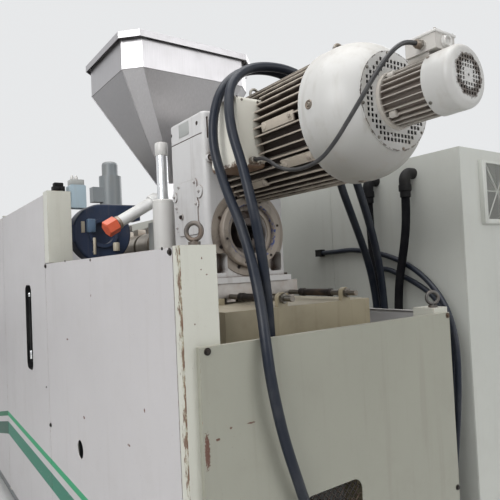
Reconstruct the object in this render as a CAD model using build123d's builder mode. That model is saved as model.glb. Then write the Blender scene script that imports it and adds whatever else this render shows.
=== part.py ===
"""Extrusion blow moulding machine with its hopper, extruder drive and control cabinet.

Millimetres, +Z up, +X towards the drive end, +Y towards the control cabinet.
The origin is on the floor, under the middle of the whole machine.
"""
import os
from math import cos, radians, sin, tan

from build123d import *

os.makedirs("parts", exist_ok=True)

# Reference planes of the enclosure
REAR = 1630.5                 # outer face of the rear panel, x
LEFT = -1037.15               # outer face of the operator side, y
WIDTH = 1220.0                # enclosure width
RIGHT = LEFT + WIDTH
LENGTH = 3770.0               # rear panel to front end of the guard
FRONT = REAR - LENGTH

# Sheet metal
SHEET = 3.0                   # sheet thickness
FOLD = 20.0                   # depth of the folded edges of a panel
SEAM = 4.0                    # gap between neighbouring panels
SEAT_GAP = 0.3                # clearance of faces that slide or rest on each other
RUN_GAP = 0.05                # radial running clearance

# Base frame
FOOT_HEIGHT = 60.0
RAIL_INSET = 40.0             # side rail from the outer face
RAIL_WIDTH = 120.0
RAIL_TOP = 180.0
CROSS_TOP = 160.0             # top of the cross members
CROSS_WIDTH = 100.0
TUBE_WALL = 6.0
FOOT_RADIUS = 55.0
FOOT_PAD = 22.0
FOOT_STEM = 15.0
FEET_PER_SIDE = 4

# Extruder axis and bed
AXIS_Y = LEFT + 607.0         # vertical plane of the extruder
BED_TOP = 1454.0
BED_DEPTH = 154.0
BED_WIDTH = 704.0
BED_REAR = REAR - 206.0
BED_LENGTH = 1124.0
BED_WALL = 10.0
LEG = 100.0                   # square leg of the bed
WAY_TOP = 1480.0              # top of the bed's guideways
WAY_WIDTH = 40.0
WAY_OFFSET = 167.0            # guideway centre from the extruder axis
SOLE_TOP = 1540.0
SOLE_REAR = REAR - 552.0
SOLE_LEFT = LEFT + 340.0
SOLE_RIGHT = LEFT + 872.0
EXTRUDER_TRAVEL = 25.0        # adjustment each way along the bed
SPINDLE_RADIUS = 11.0
SPINDLE_Z = 1484.0
SPINDLE_YS = (LEFT + 508.0, LEFT + 830.0)
SPINDLE_END = REAR - 150.0
LUG_THICK = 20.0

# Enclosure heights and places
LEFT_PANEL_TOP = 1669.0
REAR_PANEL_TOP = 1383.0
REAR_PANEL_BOTTOM = 70.0
REAR_PANEL_LEFT = LEFT + 40.0
REAR_PANEL_RIGHT = LEFT + 1203.0
SKIRT = 190.0                 # lower edge of side panels and doors
LEFT_POST_TOP = 1673.0
LEFT_POST_WIDTH = 121.0
LEFT_POST_DEPTH = 40.0
RIGHT_POST_TOP = 1403.0
RIGHT_POST_WIDTH = 90.0
RIGHT_POST_DEPTH = 100.0
CUTOUT_WIDTH = 266.0
CUTOUT_TOP = 868.0
CUTOUT_BOTTOM = 420.0
CUTOUT_LEFT = LEFT + 386.0
CUTOUT_CORNER = 40.0
CABLE_HOLE_RADIUS = 39.0
CABLE_HOLE_X = REAR - 1009.0
CABLE_HOLE_Z = 856.0

# Guard around the mould bay
GUARD_REAR = REAR - 1504.0    # seam between the guard and the rear section
RETURN_WIDTH = 78.0           # rear posts of the guard
RETURN_DEPTH = 118.0
GUARD_TOP = 2037.0
GUARD_RAIL = 60.0             # square tube of the guard
GUARD_RAIL_TOP = GUARD_TOP - 6.0
GUARD_RAIL_SET = 34.0         # tube behind the door faces
DOOR_SPLIT = REAR - 2642.0    # seam between the two doors
DOOR_TOP = GUARD_RAIL_TOP - 7.0
DOOR_DEPTH = 30.0
DOOR_GAP = 5.0
PIVOT_INSET = 12.0            # pivot from the door's edge
PIVOT_DEPTH = 8.0             # pivot behind the door's face
PIVOT_RADIUS = 6.0
PIVOT_REACH = 24.0            # pin length inside the door
COLLAR = 6.0
HANDLE_WIDTH = 150.0
HANDLE_HEIGHT = 482.0
HANDLE_Z = 1320.0
HANDLE_DEPTH = 45.0
HANDLE_INSET = 411.0          # grip centre from the door's free edge
GRIP_RADIUS = 7.0
OUTLET_WIDTH = 600.0          # product outlet in the front panel
OUTLET_HEIGHT = 560.0
OUTLET_BOTTOM = 620.0

# Clamp
CLAMP_X = REAR - 2170.0       # parting plane, below the die
STROKE = 140.0                # travel of each platen
MOULD_THICK = 150.0
MOULD_WIDTH = 300.0
MOULD_BOTTOM = 780.0
MOULD_TOP = 1200.0
PLATEN_THICK = 60.0
PLATEN_WIDTH = 620.0
PLATEN_BOTTOM = 520.0
PLATEN_TOP = 1300.0
TIE_RADIUS = 30.0
TIE_Y = 250.0                 # tie bar from the extruder plane
TIE_ZS = (600.0, 1220.0)
END_PLATE = 60.0
END_PLATE_FACE = 530.0        # inner face of an end plate from the parting plane
END_PLATE_TOP = 1330.0
END_PLATE_WIDTH = 720.0
RAM_RADIUS = 30.0
RAM_LENGTH = 230.0
CYLINDER_RADIUS = 75.0
CYLINDER_REACH = 110.0        # clamp cylinder in front of its end plate
CAVITY_BODY = 55.0
CAVITY_NECK = 16.0
CAVITY_SHOULDER_Z = 850.0
CAVITY_BODY_Z = 905.0
CAVITY_TOP_Z = 1130.0
PIN_RADIUS = 12.0
PIN_TIP_Z = 740.0
PIN_TAIL_Z = 490.0
PIN_CYLINDER_TOP = 600.0
PIN_CYLINDER_RADIUS = 45.0

# Gearbox
GEARBOX_REAR = REAR - 544.0
GEARBOX_DEPTH = 304.0
GEARBOX_WIDTH = 402.0
GEARBOX_TOP = 2258.0
OUTPUT_Z = 1752.0             # height of the screw axis
FLANGE_RADIUS = 185.0
FLANGE_LIFT = 4.0             # machined face of the flange over the housing
FLANGE_STEP = 10.0
FLANGE_REACH = 33.0
FLANGE_RAISED = 150.0
FLANGE_MOUTH = 118.0
FLANGE_SCREW = 7.0
FLANGE_BORE = 97.0
FLANGE_THICK = 22.0
FLANGE_PCD = 316.0
FLANGE_BOLTS = 8
BOLT_RADIUS = 9.0
SHAFT_RADIUS = 62.0
SPLINE_TEETH = 18
SCREW_RADIUS = 30.0

# Motor
MOTOR_Z = 2086.0
MOTOR_ROOT = 182.0
MOTOR_TIP = 213.0
FIN_THICK = 5.0
FIN_COUNT = 44
FIN_FRONT = REAR - 470.0
FIN_REAR = REAR + 95.0
COWL_EDGE = REAR + 69.0
COWL_BEND = REAR + 120.0
COWL_END = REAR + 262.0
COWL_RADIUS = 221.0
COWL_MOUTH = 150.0
GUARD_PLATE = 3.0
GRID_PITCH = 16.0
GRID_HOLE = 11.0
FAN_RADIUS = 190.0
FAN_BLADES = 8
FAN_SHAFT = 12.0
BOX_LEFT = LEFT + 327.0       # outer face of the motor terminal box lid
BOX_SEAT = LEFT + 440.0
BOX_FRONT = REAR - 361.0
BOX_REAR = REAR - 185.0
BOX_BOTTOM = 1953.0
BOX_TOP = 2200.0
LID_THICK = 8.0
SMALL_FLANGE_END = REAR + 278.0
SMALL_FIN_END = REAR + 428.0
SMALL_COWL_EDGE = REAR + 421.0
SMALL_COWL_END = REAR + 509.0
SMALL_ROOT = 68.0
SMALL_TIP = 84.0
SMALL_COWL_RADIUS = 88.0
SMALL_FIN_COUNT = 26

# Barrel and die head
BARREL_RADIUS = 62.0
HEAD_RADIUS = 110.0
HEAD_TOP = 2030.0
DIE_BOTTOM = 1380.0
BAND_LENGTH = 160.0
BAND_THICK = 16.0
BAND_PITCH = 190.0
BAND_XS = [REAR - 1430.0 - BAND_PITCH * band for band in range(3)]
PARISON_RADIUS = 74.0
PARISON_TOP = HEAD_TOP + 240.0
PARISON_CAP_TOP = PARISON_TOP + 101.0

# Hopper
HOPPER_X = REAR - 1227.5
HOPPER_LENGTH = 583.0
HOPPER_WIDTH = 708.0
HOPPER_CORNER = 75.0
HOPPER_KNEE = 2557.0
HOPPER_WALL = 3.0
NECK_SIZE = 150.0
NECK_CORNER = 40.0
NECK_TOP = 2060.0
NECK_BOTTOM = 1940.0
LID_OVERHANG = 20.0
LID_TOP = 2725.0
HOPPER_RIM = LID_TOP - HOPPER_WALL - SEAT_GAP
LID_SKIRT = 31.0
LID_PIN = 5.0
PIPE_RADIUS = 30.0
PIPE_WALL = 4.0
PIPE_SLOPE = 30.0
PIPE_END_Y = LEFT + 246.0
PIPE_END_Z = 1832.0
CAP_FLATS = 74.0
CAP_LENGTH = 62.0
CAP_SOCKET = 40.0

# Lift column
COLUMN_X = REAR - 930.0
COLUMN_Y = LEFT + 400.0
COLUMN_RADIUS = 51.0
COLUMN_TOP = 1935.0
RAM_ROD_RADIUS = 26.5
ROD_TOP = 2145.0
ROD_CAP_TOP = 2200.0
ROD_TAIL = 1640.0

# Barrel blower and junction box
BLOWER_X = REAR - 1540.0
BLOWER_Y = LEFT + 302.0
BLOWER_Z = 1826.0
BLOWER_RADIUS = 160.0
BLOWER_WIDTH = 110.0
JUNCTION_BOTTOM = 1954.0
JUNCTION_TOP = 2075.0
JUNCTION_WIDTH = 82.0

# Control cabinet
CABINET_LEFT = LEFT + 1433.0
CABINET_DEPTH = 600.0
CABINET_REAR = REAR - 59.0
BAY_WIDTH = 826.0
CABINET_TOP = 2100.0
PLINTH = 100.0
CABINET_DOOR = 22.0
CABINET_LIP = 40.0
GRILLE_WIDTH = 240.0
GRILLE_HEIGHT = 297.0
GRILLE_Y = CABINET_LEFT + 268.0
GRILLE_Z = 1900.0
TRUNKING_TOP = 400.0
TRUNKING_BOTTOM = 150.0
DRIVE_BOX_TOP = 470.0

# Lifting eyebolts
EYE_RING = 24.5
EYE_WIRE = 7.0
EYE_HEIGHT = 40.0
EYE_COLLAR = 18.0
EYE_COLLAR_HEIGHT = 10.0


def block(x_span, y_span, z_span, mode=Mode.ADD):
    """Add or cut a box between two limits on each axis in the open part."""
    spans = (x_span, y_span, z_span)
    with Locations(Vector(*[sum(span) / 2 for span in spans])):
        Box(*[abs(span[1] - span[0]) for span in spans], mode=mode)


def round_bar(start, direction, radius, length, mode=Mode.ADD):
    """Add or cut a cylinder from a start point along a direction in the open part."""
    with BuildSketch(Plane(origin=start, z_dir=direction)) as section:
        Circle(radius)
    extrude(section.sketch, amount=length, mode=mode)


def square_tube(x_span, y_span, z_span, axis, wall=TUBE_WALL):
    """Add a hollow section that runs along one axis, open at its ends."""
    block(x_span, y_span, z_span)
    inner = [(min(span) + wall, max(span) - wall) for span in (x_span, y_span, z_span)]
    inner["XYZ".index(axis)] = (x_span, y_span, z_span)["XYZ".index(axis)]
    block(*inner, mode=Mode.SUBTRACT)


def folded_tray(plane, width, height, depth=FOLD, wall=SHEET):
    """Add a sheet panel with four folded edges; its outer face lies on the plane."""
    with BuildSketch(plane) as face:
        Rectangle(width, height)
    extrude(face.sketch, amount=-depth)
    with BuildSketch(plane.offset(-wall)) as inside:
        Rectangle(width - 2 * wall, height - 2 * wall)
    extrude(inside.sketch, amount=wall - depth, mode=Mode.SUBTRACT)


def rounded_opening(plane, width, height, corner, depth):
    """Cut a rectangle with rounded corners into the open part from a plane."""
    with BuildSketch(plane) as outline:
        RectangleRounded(width, height, corner)
    extrude(outline.sketch, amount=-depth, mode=Mode.SUBTRACT)


def left_plane(x_span, z_span, y=LEFT):
    """Plane that faces the operator, centred between two limits."""
    return Plane(origin=(sum(x_span) / 2, y, sum(z_span) / 2), x_dir=(1, 0, 0), z_dir=(0, -1, 0))


def right_plane(x_span, z_span, y=RIGHT):
    """Plane that faces the cabinet side, centred between two limits."""
    return Plane(origin=(sum(x_span) / 2, y, sum(z_span) / 2), x_dir=(-1, 0, 0), z_dir=(0, 1, 0))


def rear_plane(y_span, z_span, x=REAR):
    """Plane that faces the drive end, centred between two limits."""
    return Plane(origin=(x, sum(y_span) / 2, sum(z_span) / 2), x_dir=(0, 1, 0), z_dir=(1, 0, 0))


def cord_radii(points):
    """Largest bend radius that each corner of a cord's route leaves room for."""
    radii = []
    for before, corner, after in zip(points, points[1:], points[2:]):
        first = Vector(*corner) - Vector(*before)
        second = Vector(*after) - Vector(*corner)
        half_turn = radians(first.get_angle(second)) / 2
        radii.append(0.45 * min(first.length, second.length) / tan(half_turn))
    return radii


def cord_tube(name, points, radius):
    """Add a cord's tube: straight runs joined by tangent arcs."""
    radii = cord_radii(points)
    with BuildLine() as route:
        FilletPolyline(*points, radius=radii)
    with BuildSketch(Plane(origin=route.line @ 0, z_dir=route.line % 0)) as section:
        Circle(radius)
    sweep(section.sketch, path=route.line)
    length = sum(edge.length for edge in route.edges())
    print(f"{name}: length {length:.0f} mm, tightest bend {min(radii):.0f} mm")


def machine_points(points):
    """Turn points given from the rear panel, the operator side and the floor."""
    return [(REAR + x, LEFT + y, z) for x, y, z in points]


# Base frame: two long rails and the cross members that carry the bed and the clamp
RAIL_FRONT = FRONT + 40.0
RAIL_REAR = REAR - FOLD
LEFT_RAIL = (LEFT + RAIL_INSET, LEFT + RAIL_INSET + RAIL_WIDTH)
RIGHT_RAIL = (RIGHT - RAIL_INSET - RAIL_WIDTH, RIGHT - RAIL_INSET)
LEG_REAR_X = BED_REAR - LEG / 2
LEG_FRONT_X = BED_REAR - BED_LENGTH + LEG / 2
END_PLATE_MID = END_PLATE_FACE + END_PLATE / 2
CROSS_XS = (
    LEG_REAR_X,
    LEG_FRONT_X,
    CLAMP_X + END_PLATE_MID,
    CLAMP_X,
    CLAMP_X - END_PLATE_MID,
    RAIL_FRONT + CROSS_WIDTH,
)
with BuildPart() as base_frame:
    for rail in (LEFT_RAIL, RIGHT_RAIL):
        square_tube((RAIL_FRONT, RAIL_REAR), rail, (FOOT_HEIGHT, RAIL_TOP), "X")
    for cross_x in CROSS_XS:
        span = (cross_x - CROSS_WIDTH / 2, cross_x + CROSS_WIDTH / 2)
        square_tube(span, (LEFT_RAIL[1], RIGHT_RAIL[0]), (FOOT_HEIGHT, CROSS_TOP), "Y")
base_frame.part.label = "base_frame"
export_step(base_frame.part, "parts/base_frame.step")

# Levelling feet under the rails
FOOT_PITCH = (RAIL_REAR - RAIL_FRONT - 2 * RAIL_WIDTH) / (FEET_PER_SIDE - 1)
with BuildPart() as levelling_feet:
    for rail in (LEFT_RAIL, RIGHT_RAIL):
        for foot in range(FEET_PER_SIDE):
            base = (RAIL_FRONT + RAIL_WIDTH + foot * FOOT_PITCH, sum(rail) / 2, 0)
            round_bar(base, (0, 0, 1), FOOT_RADIUS, FOOT_PAD)
            round_bar(base, (0, 0, 1), FOOT_STEM, FOOT_HEIGHT)
levelling_feet.part.label = "levelling_feet"
export_step(levelling_feet.part, "parts/levelling_feet.step")

# Rear corner posts: folded sheet channels with a landing flange for the side panels
POST_REAR = REAR - FOLD
LEFT_POST_X = (POST_REAR - LEFT_POST_DEPTH, POST_REAR)
RIGHT_POST_X = (POST_REAR - RIGHT_POST_DEPTH, POST_REAR)
LANDING = 30.0
with BuildPart() as rear_posts:
    left_y = (LEFT, LEFT + LEFT_POST_WIDTH)
    block(LEFT_POST_X, left_y, (RAIL_TOP, LEFT_POST_TOP))
    block(
        (LEFT_POST_X[0], LEFT_POST_X[1] - SHEET),
        (left_y[0] + SHEET, left_y[1] - SHEET),
        (RAIL_TOP, LEFT_POST_TOP - SHEET),
        mode=Mode.SUBTRACT,
    )
    block(
        (LEFT_POST_X[0] - LANDING, LEFT_POST_X[1]),
        (LEFT + FOLD, LEFT + FOLD + SHEET),
        (RAIL_TOP, LEFT_PANEL_TOP),
    )
    right_y = (RIGHT - RIGHT_POST_WIDTH, RIGHT)
    block(RIGHT_POST_X, right_y, (RAIL_TOP, RIGHT_POST_TOP))
    block(
        (RIGHT_POST_X[0] + SHEET, RIGHT_POST_X[1] - SHEET),
        (right_y[0] + SHEET, right_y[1] - SHEET),
        (RAIL_TOP, RIGHT_POST_TOP - SHEET),
        mode=Mode.SUBTRACT,
    )
    block(
        (RIGHT_POST_X[0] - LANDING, RIGHT_POST_X[0] + SHEET),
        (RIGHT - FOLD - SHEET, RIGHT - FOLD),
        (RAIL_TOP, REAR_PANEL_TOP),
    )
rear_posts.part.label = "rear_posts"
export_step(rear_posts.part, "parts/rear_posts.step")

# Rear panel with its rounded service cut-out
REAR_Y = (REAR_PANEL_LEFT, REAR_PANEL_RIGHT)
REAR_Z = (REAR_PANEL_BOTTOM, REAR_PANEL_TOP)
CUTOUT_Y = (CUTOUT_LEFT, CUTOUT_LEFT + CUTOUT_WIDTH)
CUTOUT_Z = (CUTOUT_BOTTOM, CUTOUT_TOP)
with BuildPart() as rear_panel:
    folded_tray(rear_plane(REAR_Y, REAR_Z), REAR_Y[1] - REAR_Y[0], REAR_Z[1] - REAR_Z[0])
    rounded_opening(
        rear_plane(CUTOUT_Y, CUTOUT_Z),
        CUTOUT_WIDTH,
        CUTOUT_TOP - CUTOUT_BOTTOM,
        CUTOUT_CORNER,
        2 * SHEET,
    )
rear_panel.part.label = "rear_panel"
export_step(rear_panel.part, "parts/rear_panel.step")

# Left side panel with the round cable hole
LEFT_PANEL_X = (GUARD_REAR, LEFT_POST_X[0] - SEAM)
LEFT_PANEL_Z = (SKIRT, LEFT_PANEL_TOP)
with BuildPart() as left_panel:
    folded_tray(
        left_plane(LEFT_PANEL_X, LEFT_PANEL_Z),
        LEFT_PANEL_X[1] - LEFT_PANEL_X[0],
        LEFT_PANEL_Z[1] - LEFT_PANEL_Z[0],
    )
    round_bar(
        (CABLE_HOLE_X, LEFT, CABLE_HOLE_Z), (0, 1, 0), CABLE_HOLE_RADIUS, 2 * SHEET, Mode.SUBTRACT
    )
left_panel.part.label = "left_panel"
export_step(left_panel.part, "parts/left_panel.step")

# Bolted panels: a low one behind the drive, two tall ones along the far side of the guard,
# and the front panel with the product outlet
RIGHT_DEPTH = GUARD_RAIL_SET
FRONT_Z = (SKIRT, GUARD_RAIL_TOP)
FRONT_FACE = Plane(
    origin=(FRONT, (LEFT + RIGHT) / 2, sum(FRONT_Z) / 2), x_dir=(0, -1, 0), z_dir=(-1, 0, 0)
)
with BuildPart() as fixed_panels:
    low_x = (GUARD_REAR, RIGHT_POST_X[0] - SEAM)
    low_z = (SKIRT, REAR_PANEL_TOP)
    folded_tray(right_plane(low_x, low_z), low_x[1] - low_x[0], low_z[1] - low_z[0])
    tall_z = (SKIRT, GUARD_RAIL_TOP)
    for tall_x in ((DOOR_SPLIT + SEAM, GUARD_REAR - SEAM), (FRONT + FOLD, DOOR_SPLIT)):
        folded_tray(
            right_plane(tall_x, tall_z),
            tall_x[1] - tall_x[0],
            tall_z[1] - tall_z[0],
            RIGHT_DEPTH,
        )
    folded_tray(FRONT_FACE, WIDTH - 2 * DOOR_DEPTH - 2 * SEAM, FRONT_Z[1] - FRONT_Z[0])
    outlet_z = OUTLET_BOTTOM + OUTLET_HEIGHT / 2 - sum(FRONT_Z) / 2
    outlet_plane = FRONT_FACE.shift_origin(FRONT_FACE.from_local_coords((0, outlet_z, 0)))
    rounded_opening(outlet_plane, OUTLET_WIDTH, OUTLET_HEIGHT, CUTOUT_CORNER, 2 * SHEET)
fixed_panels.part.label = "fixed_panels"
export_step(fixed_panels.part, "parts/fixed_panels.step")

# Guard frame: rear returns, middle and front posts, top rails, and the door pivots
PIVOT_Y = LEFT + PIVOT_DEPTH
DOOR_REAR_X = (DOOR_SPLIT + DOOR_GAP, GUARD_REAR - SEAM)
DOOR_FRONT_X = (FRONT + SEAM, DOOR_SPLIT)
PIVOT_XS = (DOOR_REAR_X[0] + PIVOT_INSET, DOOR_FRONT_X[0] + PIVOT_INSET)
DOOR_BOTTOM = RAIL_TOP + 2 * COLLAR + SEAT_GAP
TUBE_LEFT = (LEFT + GUARD_RAIL_SET, LEFT + GUARD_RAIL_SET + GUARD_RAIL)
TUBE_RIGHT = (RIGHT - GUARD_RAIL_SET - GUARD_RAIL, RIGHT - GUARD_RAIL_SET)
RETURN_X = (GUARD_REAR, GUARD_REAR + RETURN_WIDTH)
FRONT_POST_X = (FRONT + FOLD, FRONT + FOLD + GUARD_RAIL)
MIDDLE_POST_X = (DOOR_SPLIT - GUARD_RAIL, DOOR_SPLIT)
RAIL_Z = (GUARD_RAIL_TOP - GUARD_RAIL, GUARD_RAIL_TOP)
with BuildPart() as guard_frame:
    returns = (
        (LEFT, LEFT + FOLD, LEFT + RETURN_DEPTH, LEFT_PANEL_TOP + SEAM),
        (RIGHT, RIGHT - FOLD, RIGHT - RETURN_DEPTH, REAR_PANEL_TOP + SEAM),
    )
    for outer, seat, inner, step in returns:
        block(RETURN_X, (seat, inner), (RAIL_TOP, step))
        block(RETURN_X, (outer, inner), (step, GUARD_TOP))
    for tube in (TUBE_LEFT, TUBE_RIGHT):
        for post_x in (MIDDLE_POST_X, FRONT_POST_X):
            square_tube(post_x, tube, (RAIL_TOP, RAIL_Z[0]), "Z")
        square_tube((FRONT_POST_X[0], RETURN_X[0]), tube, RAIL_Z, "X")
    square_tube(FRONT_POST_X, (TUBE_LEFT[1], TUBE_RIGHT[0]), RAIL_Z, "Y")
    for pivot_x in PIVOT_XS:
        ear_x = (pivot_x - PIVOT_INSET - DOOR_GAP, pivot_x + 2 * PIVOT_INSET)
        ear_y = (LEFT, TUBE_LEFT[0] + PIVOT_INSET)
        block(ear_x, ear_y, (GUARD_RAIL_TOP, GUARD_TOP))
        block(ear_x, ear_y, (RAIL_TOP, RAIL_TOP + COLLAR))
        top = (pivot_x, PIVOT_Y, GUARD_RAIL_TOP)
        foot = (pivot_x, PIVOT_Y, RAIL_TOP + COLLAR)
        round_bar(top, (0, 0, -1), PIVOT_RADIUS, GUARD_RAIL_TOP - DOOR_TOP + PIVOT_REACH)
        round_bar(foot, (0, 0, 1), PIVOT_RADIUS, COLLAR + PIVOT_REACH)
        round_bar(foot, (0, 0, 1), PIVOT_RADIUS + 1.5, COLLAR)
guard_frame.part.label = "guard_frame"
export_step(guard_frame.part, "parts/guard_frame.step")


def door_leaf(x_span, pivot_x, grip_x):
    """Add a hinged door with its grip opening and its two pivot bores."""
    z_span = (DOOR_BOTTOM, DOOR_TOP)
    folded_tray(left_plane(x_span, z_span), x_span[1] - x_span[0], z_span[1] - z_span[0], DOOR_DEPTH)
    for end_z, inward in ((DOOR_BOTTOM, 1), (DOOR_TOP, -1)):
        block(
            (pivot_x - PIVOT_INSET, pivot_x + PIVOT_INSET),
            (LEFT, LEFT + DOOR_DEPTH),
            (end_z, end_z + inward * 2 * PIVOT_REACH),
        )
        round_bar(
            (pivot_x, PIVOT_Y, end_z),
            (0, 0, inward),
            PIVOT_RADIUS + RUN_GAP,
            PIVOT_REACH + COLLAR,
            Mode.SUBTRACT,
        )
    grip_face = left_plane((grip_x, grip_x), (HANDLE_Z, HANDLE_Z))
    rounded_opening(grip_face, HANDLE_WIDTH, HANDLE_HEIGHT, CUTOUT_CORNER, 2 * SHEET)


def door_grip(grip_x):
    """Add a recessed pan with an upright bar on two blocks."""
    face = left_plane((grip_x, grip_x), (HANDLE_Z, HANDLE_Z))
    pan_width = HANDLE_WIDTH - SEAT_GAP
    pan_height = HANDLE_HEIGHT - SEAT_GAP
    with BuildSketch(face) as pan:
        RectangleRounded(pan_width, pan_height, CUTOUT_CORNER - SEAT_GAP)
    extrude(pan.sketch, amount=-HANDLE_DEPTH)
    rounded_opening(
        face,
        pan_width - 2 * SHEET,
        pan_height - 2 * SHEET,
        CUTOUT_CORNER - SHEET,
        HANDLE_DEPTH - SHEET,
    )
    bar_y = LEFT + PIVOT_DEPTH + 2
    bar_half = HANDLE_HEIGHT / 2 - CUTOUT_CORNER
    round_bar((grip_x, bar_y, HANDLE_Z - bar_half), (0, 0, 1), GRIP_RADIUS, 2 * bar_half)
    for end in (-1, 1):
        block(
            (grip_x - 2 * GRIP_RADIUS, grip_x + 2 * GRIP_RADIUS),
            (bar_y, LEFT + HANDLE_DEPTH - SHEET),
            (HANDLE_Z + end * bar_half, HANDLE_Z + end * (bar_half - CUTOUT_CORNER)),
        )


REAR_GRIP_X = DOOR_REAR_X[1] - HANDLE_INSET + SEAM
FRONT_GRIP_X = DOOR_FRONT_X[1] - HANDLE_INSET + SEAM
with BuildPart() as door_rear:
    door_leaf(DOOR_REAR_X, PIVOT_XS[0], REAR_GRIP_X)
door_rear.part.label = "door_rear"
export_step(door_rear.part, "parts/door_rear.step")

with BuildPart() as door_front:
    door_leaf(DOOR_FRONT_X, PIVOT_XS[1], FRONT_GRIP_X)
door_front.part.label = "door_front"
export_step(door_front.part, "parts/door_front.step")

with BuildPart() as door_rear_handle:
    door_grip(REAR_GRIP_X)
door_rear_handle.part.label = "door_rear_handle"
export_step(door_rear_handle.part, "parts/door_rear_handle.step")

with BuildPart() as door_front_handle:
    door_grip(FRONT_GRIP_X)
door_front_handle.part.label = "door_front_handle"
export_step(door_front_handle.part, "parts/door_front_handle.step")

# Screws of the rear panel and the left side panel, each on a washer
SCREW_EDGE = 25.0
WASHER_RADIUS = 11.0
WASHER_THICK = 2.0
SCREW_HEAD = 6.5
SCREW_HEIGHT = 5.0
REAR_SCREW_YS = (REAR_Y[0] + SCREW_EDGE, REAR_Y[1] - SCREW_EDGE / 2)
REAR_SCREW_ZS = (REAR_Z[0] + SCREW_EDGE, 683.0, REAR_Z[1] - SCREW_EDGE / 2)
LEFT_SCREW_XS = (LEFT_PANEL_X[0] + SCREW_EDGE / 2, LEFT_PANEL_X[1] - SCREW_EDGE / 2)
LEFT_SCREW_ZS = (LEFT_PANEL_Z[0] + SCREW_EDGE, 855.0, LEFT_PANEL_Z[1] - SCREW_EDGE / 2)
with BuildPart() as panel_screws:
    rear_places = [((REAR, y, z), (1, 0, 0)) for y in REAR_SCREW_YS for z in REAR_SCREW_ZS]
    side_places = [((x, LEFT, z), (0, -1, 0)) for x in LEFT_SCREW_XS for z in LEFT_SCREW_ZS]
    for place, outward in rear_places + side_places:
        round_bar(place, outward, WASHER_RADIUS, WASHER_THICK)
        round_bar(place, outward, SCREW_HEAD, WASHER_THICK + SCREW_HEIGHT)
panel_screws.part.label = "panel_screws"
export_step(panel_screws.part, "parts/panel_screws.step")

# Lifting eyebolts on the two rear posts and the four corners of the cabinet
CABINET_RIGHT = CABINET_LEFT + CABINET_DEPTH
CABINET_FRONT = CABINET_REAR - 2 * BAY_WIDTH
EYE_INSET = 60.0
EYE_PLACES = [
    (sum(LEFT_POST_X) / 2, LEFT + LEFT_POST_WIDTH / 2, LEFT_POST_TOP, -55.0),
    (POST_REAR - 30.0, RIGHT - 52.0, RIGHT_POST_TOP, -30.0),
]
EYE_PLACES += [
    (x, y, CABINET_TOP, -25.0)
    for x in (CABINET_REAR - EYE_INSET, CABINET_FRONT + EYE_INSET)
    for y in (CABINET_LEFT + 205.0, CABINET_RIGHT - EYE_INSET)
]
with BuildPart() as lifting_eyebolts:
    for eye_x, eye_y, seat_z, turn in EYE_PLACES:
        round_bar((eye_x, eye_y, seat_z), (0, 0, 1), EYE_COLLAR, EYE_COLLAR_HEIGHT)
        round_bar((eye_x, eye_y, seat_z), (0, 0, 1), EYE_WIRE, EYE_HEIGHT - EYE_RING)
        with Locations(Location((eye_x, eye_y, seat_z + EYE_HEIGHT), (0, 0, turn))):
            Torus(EYE_RING, EYE_WIRE, rotation=(0, 90, 0))
lifting_eyebolts.part.label = "lifting_eyebolts"
export_step(lifting_eyebolts.part, "parts/lifting_eyebolts.step")

# Extruder bed: an open-bottomed box on four legs, with guideways and spindle lugs
BED_X = (BED_REAR - BED_LENGTH, BED_REAR)
BED_Y = (AXIS_Y + 3.0 - BED_WIDTH / 2, AXIS_Y + 3.0 + BED_WIDTH / 2)
BED_Z = (BED_TOP - BED_DEPTH, BED_TOP)
with BuildPart() as extruder_bed:
    block(BED_X, BED_Y, BED_Z)
    block(
        (BED_X[0] + BED_WALL, BED_X[1] - BED_WALL),
        (BED_Y[0] + BED_WALL, BED_Y[1] - BED_WALL),
        (BED_Z[0], BED_Z[1] - BED_WALL),
        mode=Mode.SUBTRACT,
    )
    for leg_x in ((BED_X[0], BED_X[0] + LEG), (BED_X[1] - LEG, BED_X[1])):
        for leg_y in ((BED_Y[0], BED_Y[0] + LEG), (BED_Y[1] - LEG, BED_Y[1])):
            square_tube(leg_x, leg_y, (CROSS_TOP, BED_Z[0]), "Z")
    for side in (-1, 1):
        way_y = AXIS_Y + side * WAY_OFFSET
        block(
            (BED_X[0], SOLE_REAR + EXTRUDER_TRAVEL),
            (way_y - WAY_WIDTH / 2, way_y + WAY_WIDTH / 2),
            (BED_TOP, WAY_TOP),
        )
    for spindle_y in SPINDLE_YS:
        block(
            (BED_REAR - LUG_THICK, BED_REAR),
            (spindle_y - 2 * SPINDLE_RADIUS, spindle_y + 2 * SPINDLE_RADIUS),
            (BED_TOP, SPINDLE_Z),
        )
        lug = (BED_REAR - LUG_THICK, spindle_y, SPINDLE_Z)
        round_bar(lug, (1, 0, 0), 2 * SPINDLE_RADIUS, LUG_THICK)
        round_bar(lug, (1, 0, 0), SPINDLE_RADIUS + RUN_GAP, LUG_THICK, Mode.SUBTRACT)
extruder_bed.part.label = "extruder_bed"
export_step(extruder_bed.part, "parts/extruder_bed.step")

# Adjusting spindles between the lugs and the sole plate, each with two lock nuts
SPINDLE_FRONT = SOLE_REAR - 90.0
NUT_THICK = 13.0
with BuildPart() as adjusting_spindles:
    for spindle_y in SPINDLE_YS:
        round_bar(
            (SPINDLE_FRONT, spindle_y, SPINDLE_Z),
            (1, 0, 0),
            SPINDLE_RADIUS,
            SPINDLE_END - SPINDLE_FRONT,
        )
        for nut_x in (BED_REAR - LUG_THICK - NUT_THICK, BED_REAR):
            with BuildSketch(Plane(origin=(nut_x, spindle_y, SPINDLE_Z), z_dir=(1, 0, 0))):
                RegularPolygon(1.7 * SPINDLE_RADIUS, 6)
            extrude(amount=NUT_THICK)
adjusting_spindles.part.label = "adjusting_spindles"
export_step(adjusting_spindles.part, "parts/adjusting_spindles.step")

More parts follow.
